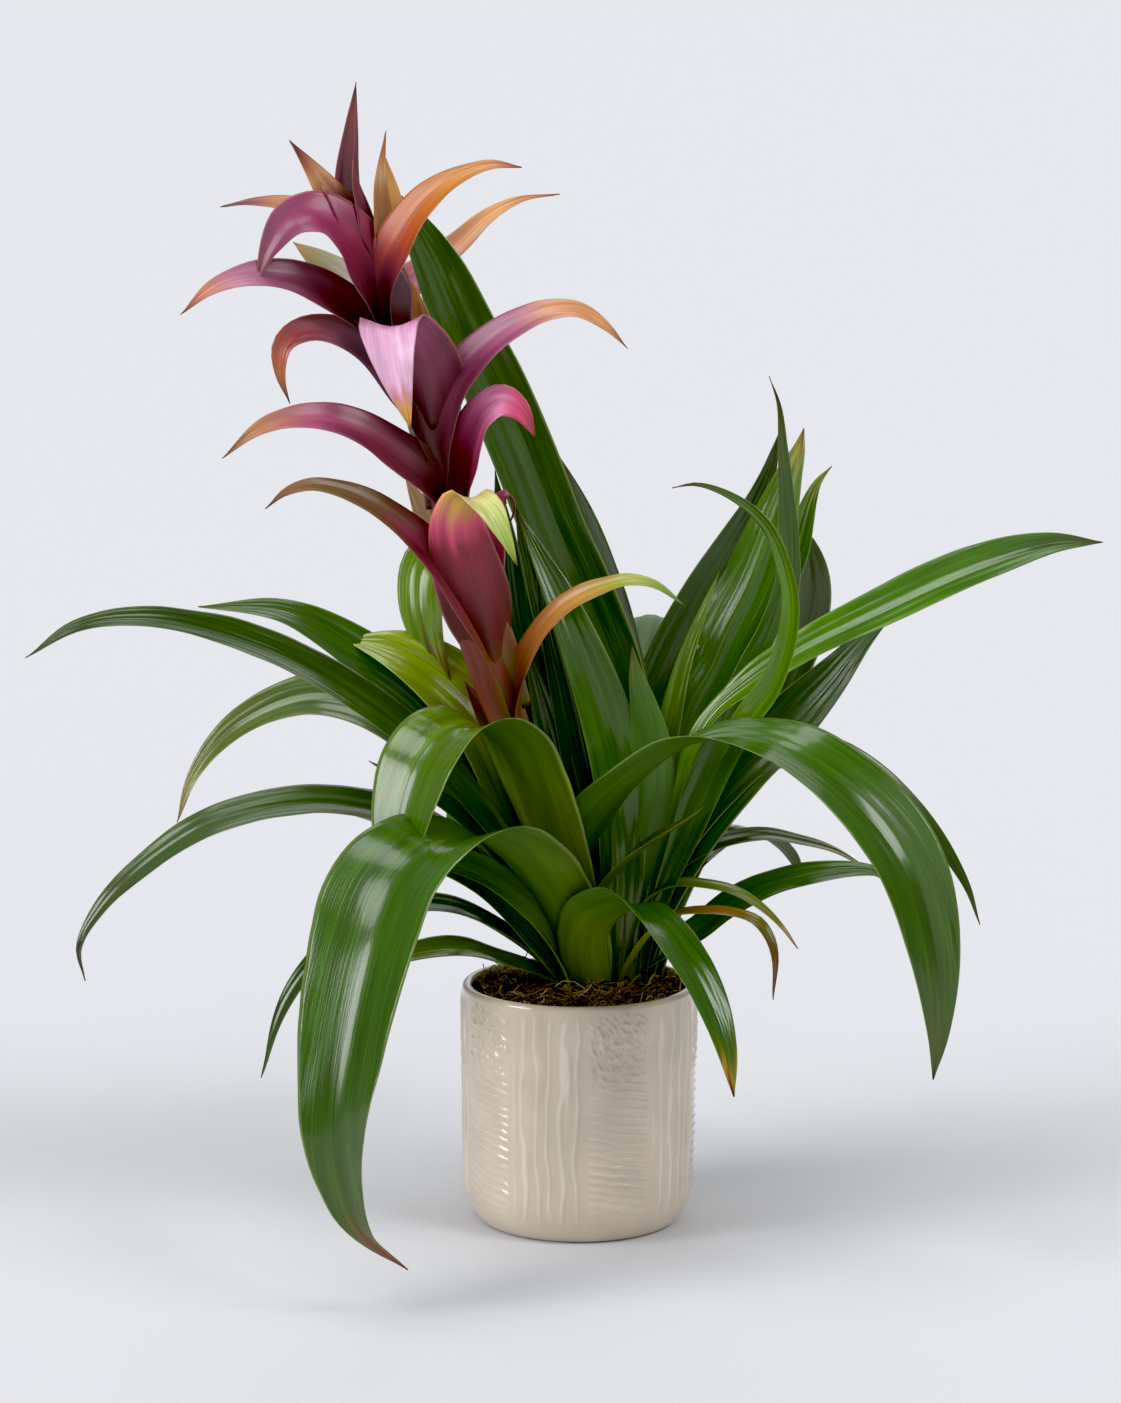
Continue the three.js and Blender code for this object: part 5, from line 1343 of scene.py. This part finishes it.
def add_medium(tree, strands, peat, fibre):
    """Coir crumb up to just below the rim, with loose fibres curled over it."""
    floor = POT_FLOOR + MEDIUM_GAP
    rim = pot_inside(MEDIUM_TOP) - MEDIUM_GAP
    profile = [(0, floor, 0, 0), (pot_inside(floor) - CORNER_WIDTH - MEDIUM_GAP, floor, 0, 0),
               (pot_inside(CORNER_TOP) - MEDIUM_GAP, CORNER_TOP, 0, 0), (rim, MEDIUM_SHOULDER, 0, 0)]
    for share in np.linspace(1, 0, MEDIUM_STEPS)[1:]:
        fallen = max(0, (share - (1 - MEDIUM_EDGE)) / MEDIUM_EDGE) ** 2
        crown = MEDIUM_TOP + MEDIUM_CROWN * (1 - share ** 2) - MEDIUM_FALL * fallen
        profile.append((share * rim, crown, 0, min(1, (1 - share) * LUMP_FADE)))
    piece = grow("coir_fill", turned_spine("coir_fill", profile), tree, {
        **PLAIN_BODY, "Steps Across": MEDIUM_STEPS_ROUND, "Steps Along": len(profile),
        "Lump Height": 12 * MM, "Lump Density": 1 / (11 * MM), "Lump Stretch": 1.0, "Seed": 2.0,
        "Finish": peat})
    tangle = grow("coir_strands", piece.data.copy(), strands, {
        "Density": 85000.0, "Fibre Length": 34 * MM, "Fibre Radius": 0.34 * MM, "Curl": 34 * MM,
        "Curl Density": 1 / (15 * MM), "Wall Radius": 57.5 * MM, "Lift": 2.5 * MM, "Steps": 15,
        "Seed": 5, "Finish": fibre})
    settle(piece, "coir", "growing_medium")
    settle(tangle, "coir", "growing_medium")


def add_stem(tree, name, points, radii, steps, own, colours, seed):
    """A plain round stem with its own lumps and finish, painted from its foot to its top."""
    piece = grow(name, stem_spine(name, points, radii, steps), tree, {
        **PLAIN_BODY, "Steps Across": STEM_STEPS_ROUND, "Steps Along": steps + 2, **own})
    paint(piece, colours, seed, STEM_WANDER)
    return piece


def add_stems(tree, stalk_skin, stem_skin):
    above = [from_front_view(p) for p in STALK]
    heights = (STEM_FOOT, (STEM_FOOT + MEDIUM_TOP) / 2, MEDIUM_TOP)
    below = [np.array((*above[0][:2], z)) for z in heights]
    radii = [FLOWER_STEM_RADIUS] * 3 + STALK_RADII
    stalk = add_stem(tree, "flower_stalk", below + above, radii, STALK_STEPS, {
        "Lump Height": 1.6 * MM, "Lump Density": 1 / (6 * MM), "Lump Stretch": 0.08, "Seed": 6.0,
        "Finish": stalk_skin}, STALK_COLOURS, 201)
    settle(stalk, "bract", "flower_spike")
    heights = (STEM_FOOT, (STEM_FOOT + SIDE_STEM_TOP) / 2, SIDE_STEM_TOP)
    core = [np.array((*SIDE_STEM_AT, z)) for z in heights]
    stem = add_stem(tree, "side_stem_core", core, [SIDE_STEM_RADIUS] * 2, SIDE_STEM_STEPS, {
        "Lump Height": 1.4 * MM, "Lump Density": 1 / (5 * MM), "Lump Stretch": 0.1, "Seed": 8.0,
        "Finish": stem_skin}, STEM_COLOURS, 202)
    settle(stem, "stem", "side_stem")


add_camera()
add_floor()
add_lights()

# A leaf's skin is waxy, and its veins break up the highlights. Its underside is duller.
leaf_upper = plant_tissue(
    "waxy_leaf_skin", tone=0.76, vein_pitch=1.3, vein_contrast=0.22, margin_and_rim_light="#a9b870",
    margin_and_rim_light_share=0.55, paleness_and_sheen="#9fb09a", paleness_and_sheen_share=0.0,
    Roughness=0.16, IOR=1.47, Coat_Weight=0.3, Coat_Roughness=0.08, Specular_IOR_Level=0.6)
leaf_under = plant_tissue(
    "matt_leaf_underside", tone=0.8, vein_pitch=1.1, vein_contrast=0.2, margin_and_rim_light="#a9b870",
    margin_and_rim_light_share=0.5, paleness_and_sheen="#7f9278", paleness_and_sheen_share=0.12,
    Roughness=0.42, IOR=1.45, Specular_IOR_Level=0.5)
# A bract's skin is satin, with finer veins and a faint painted pinkish sheen.
bract_upper = plant_tissue(
    "satin_bract_skin", tone=1.0, vein_pitch=1.0, vein_contrast=0.2, margin_and_rim_light="#d9a890",
    margin_and_rim_light_share=0.45, paleness_and_sheen="#c9a0b8", paleness_and_sheen_share=0.04,
    Roughness=0.3, IOR=1.46, Coat_Weight=0.2, Coat_Roughness=0.2, Specular_IOR_Level=0.6)
bract_under = plant_tissue(
    "satin_bract_underside", tone=1.0, vein_pitch=0.9, vein_contrast=0.2, margin_and_rim_light="#d9a890",
    margin_and_rim_light_share=0.45, paleness_and_sheen="#c9a0b8", paleness_and_sheen_share=0.05,
    Roughness=0.36, IOR=1.45, Specular_IOR_Level=0.5)
stem_skin = plant_tissue(
    "fibrous_stem_skin", tone=1.0, vein_pitch=1.6, vein_contrast=0.3, margin_and_rim_light="#8a9040",
    margin_and_rim_light_share=0.0, paleness_and_sheen="#8a8a50", paleness_and_sheen_share=0.05, Roughness=0.5, IOR=1.45)

blade = blade_tree()
round_body = round_body_tree()
add_pot(round_body, glazed_stoneware())
add_medium(round_body, strand_tree(), coir_peat(), coir_fibre())
add_stems(round_body, bract_under, stem_skin)
add_leaves(blade, leaf_upper, leaf_under)
add_bracts(blade, bract_upper, bract_under)
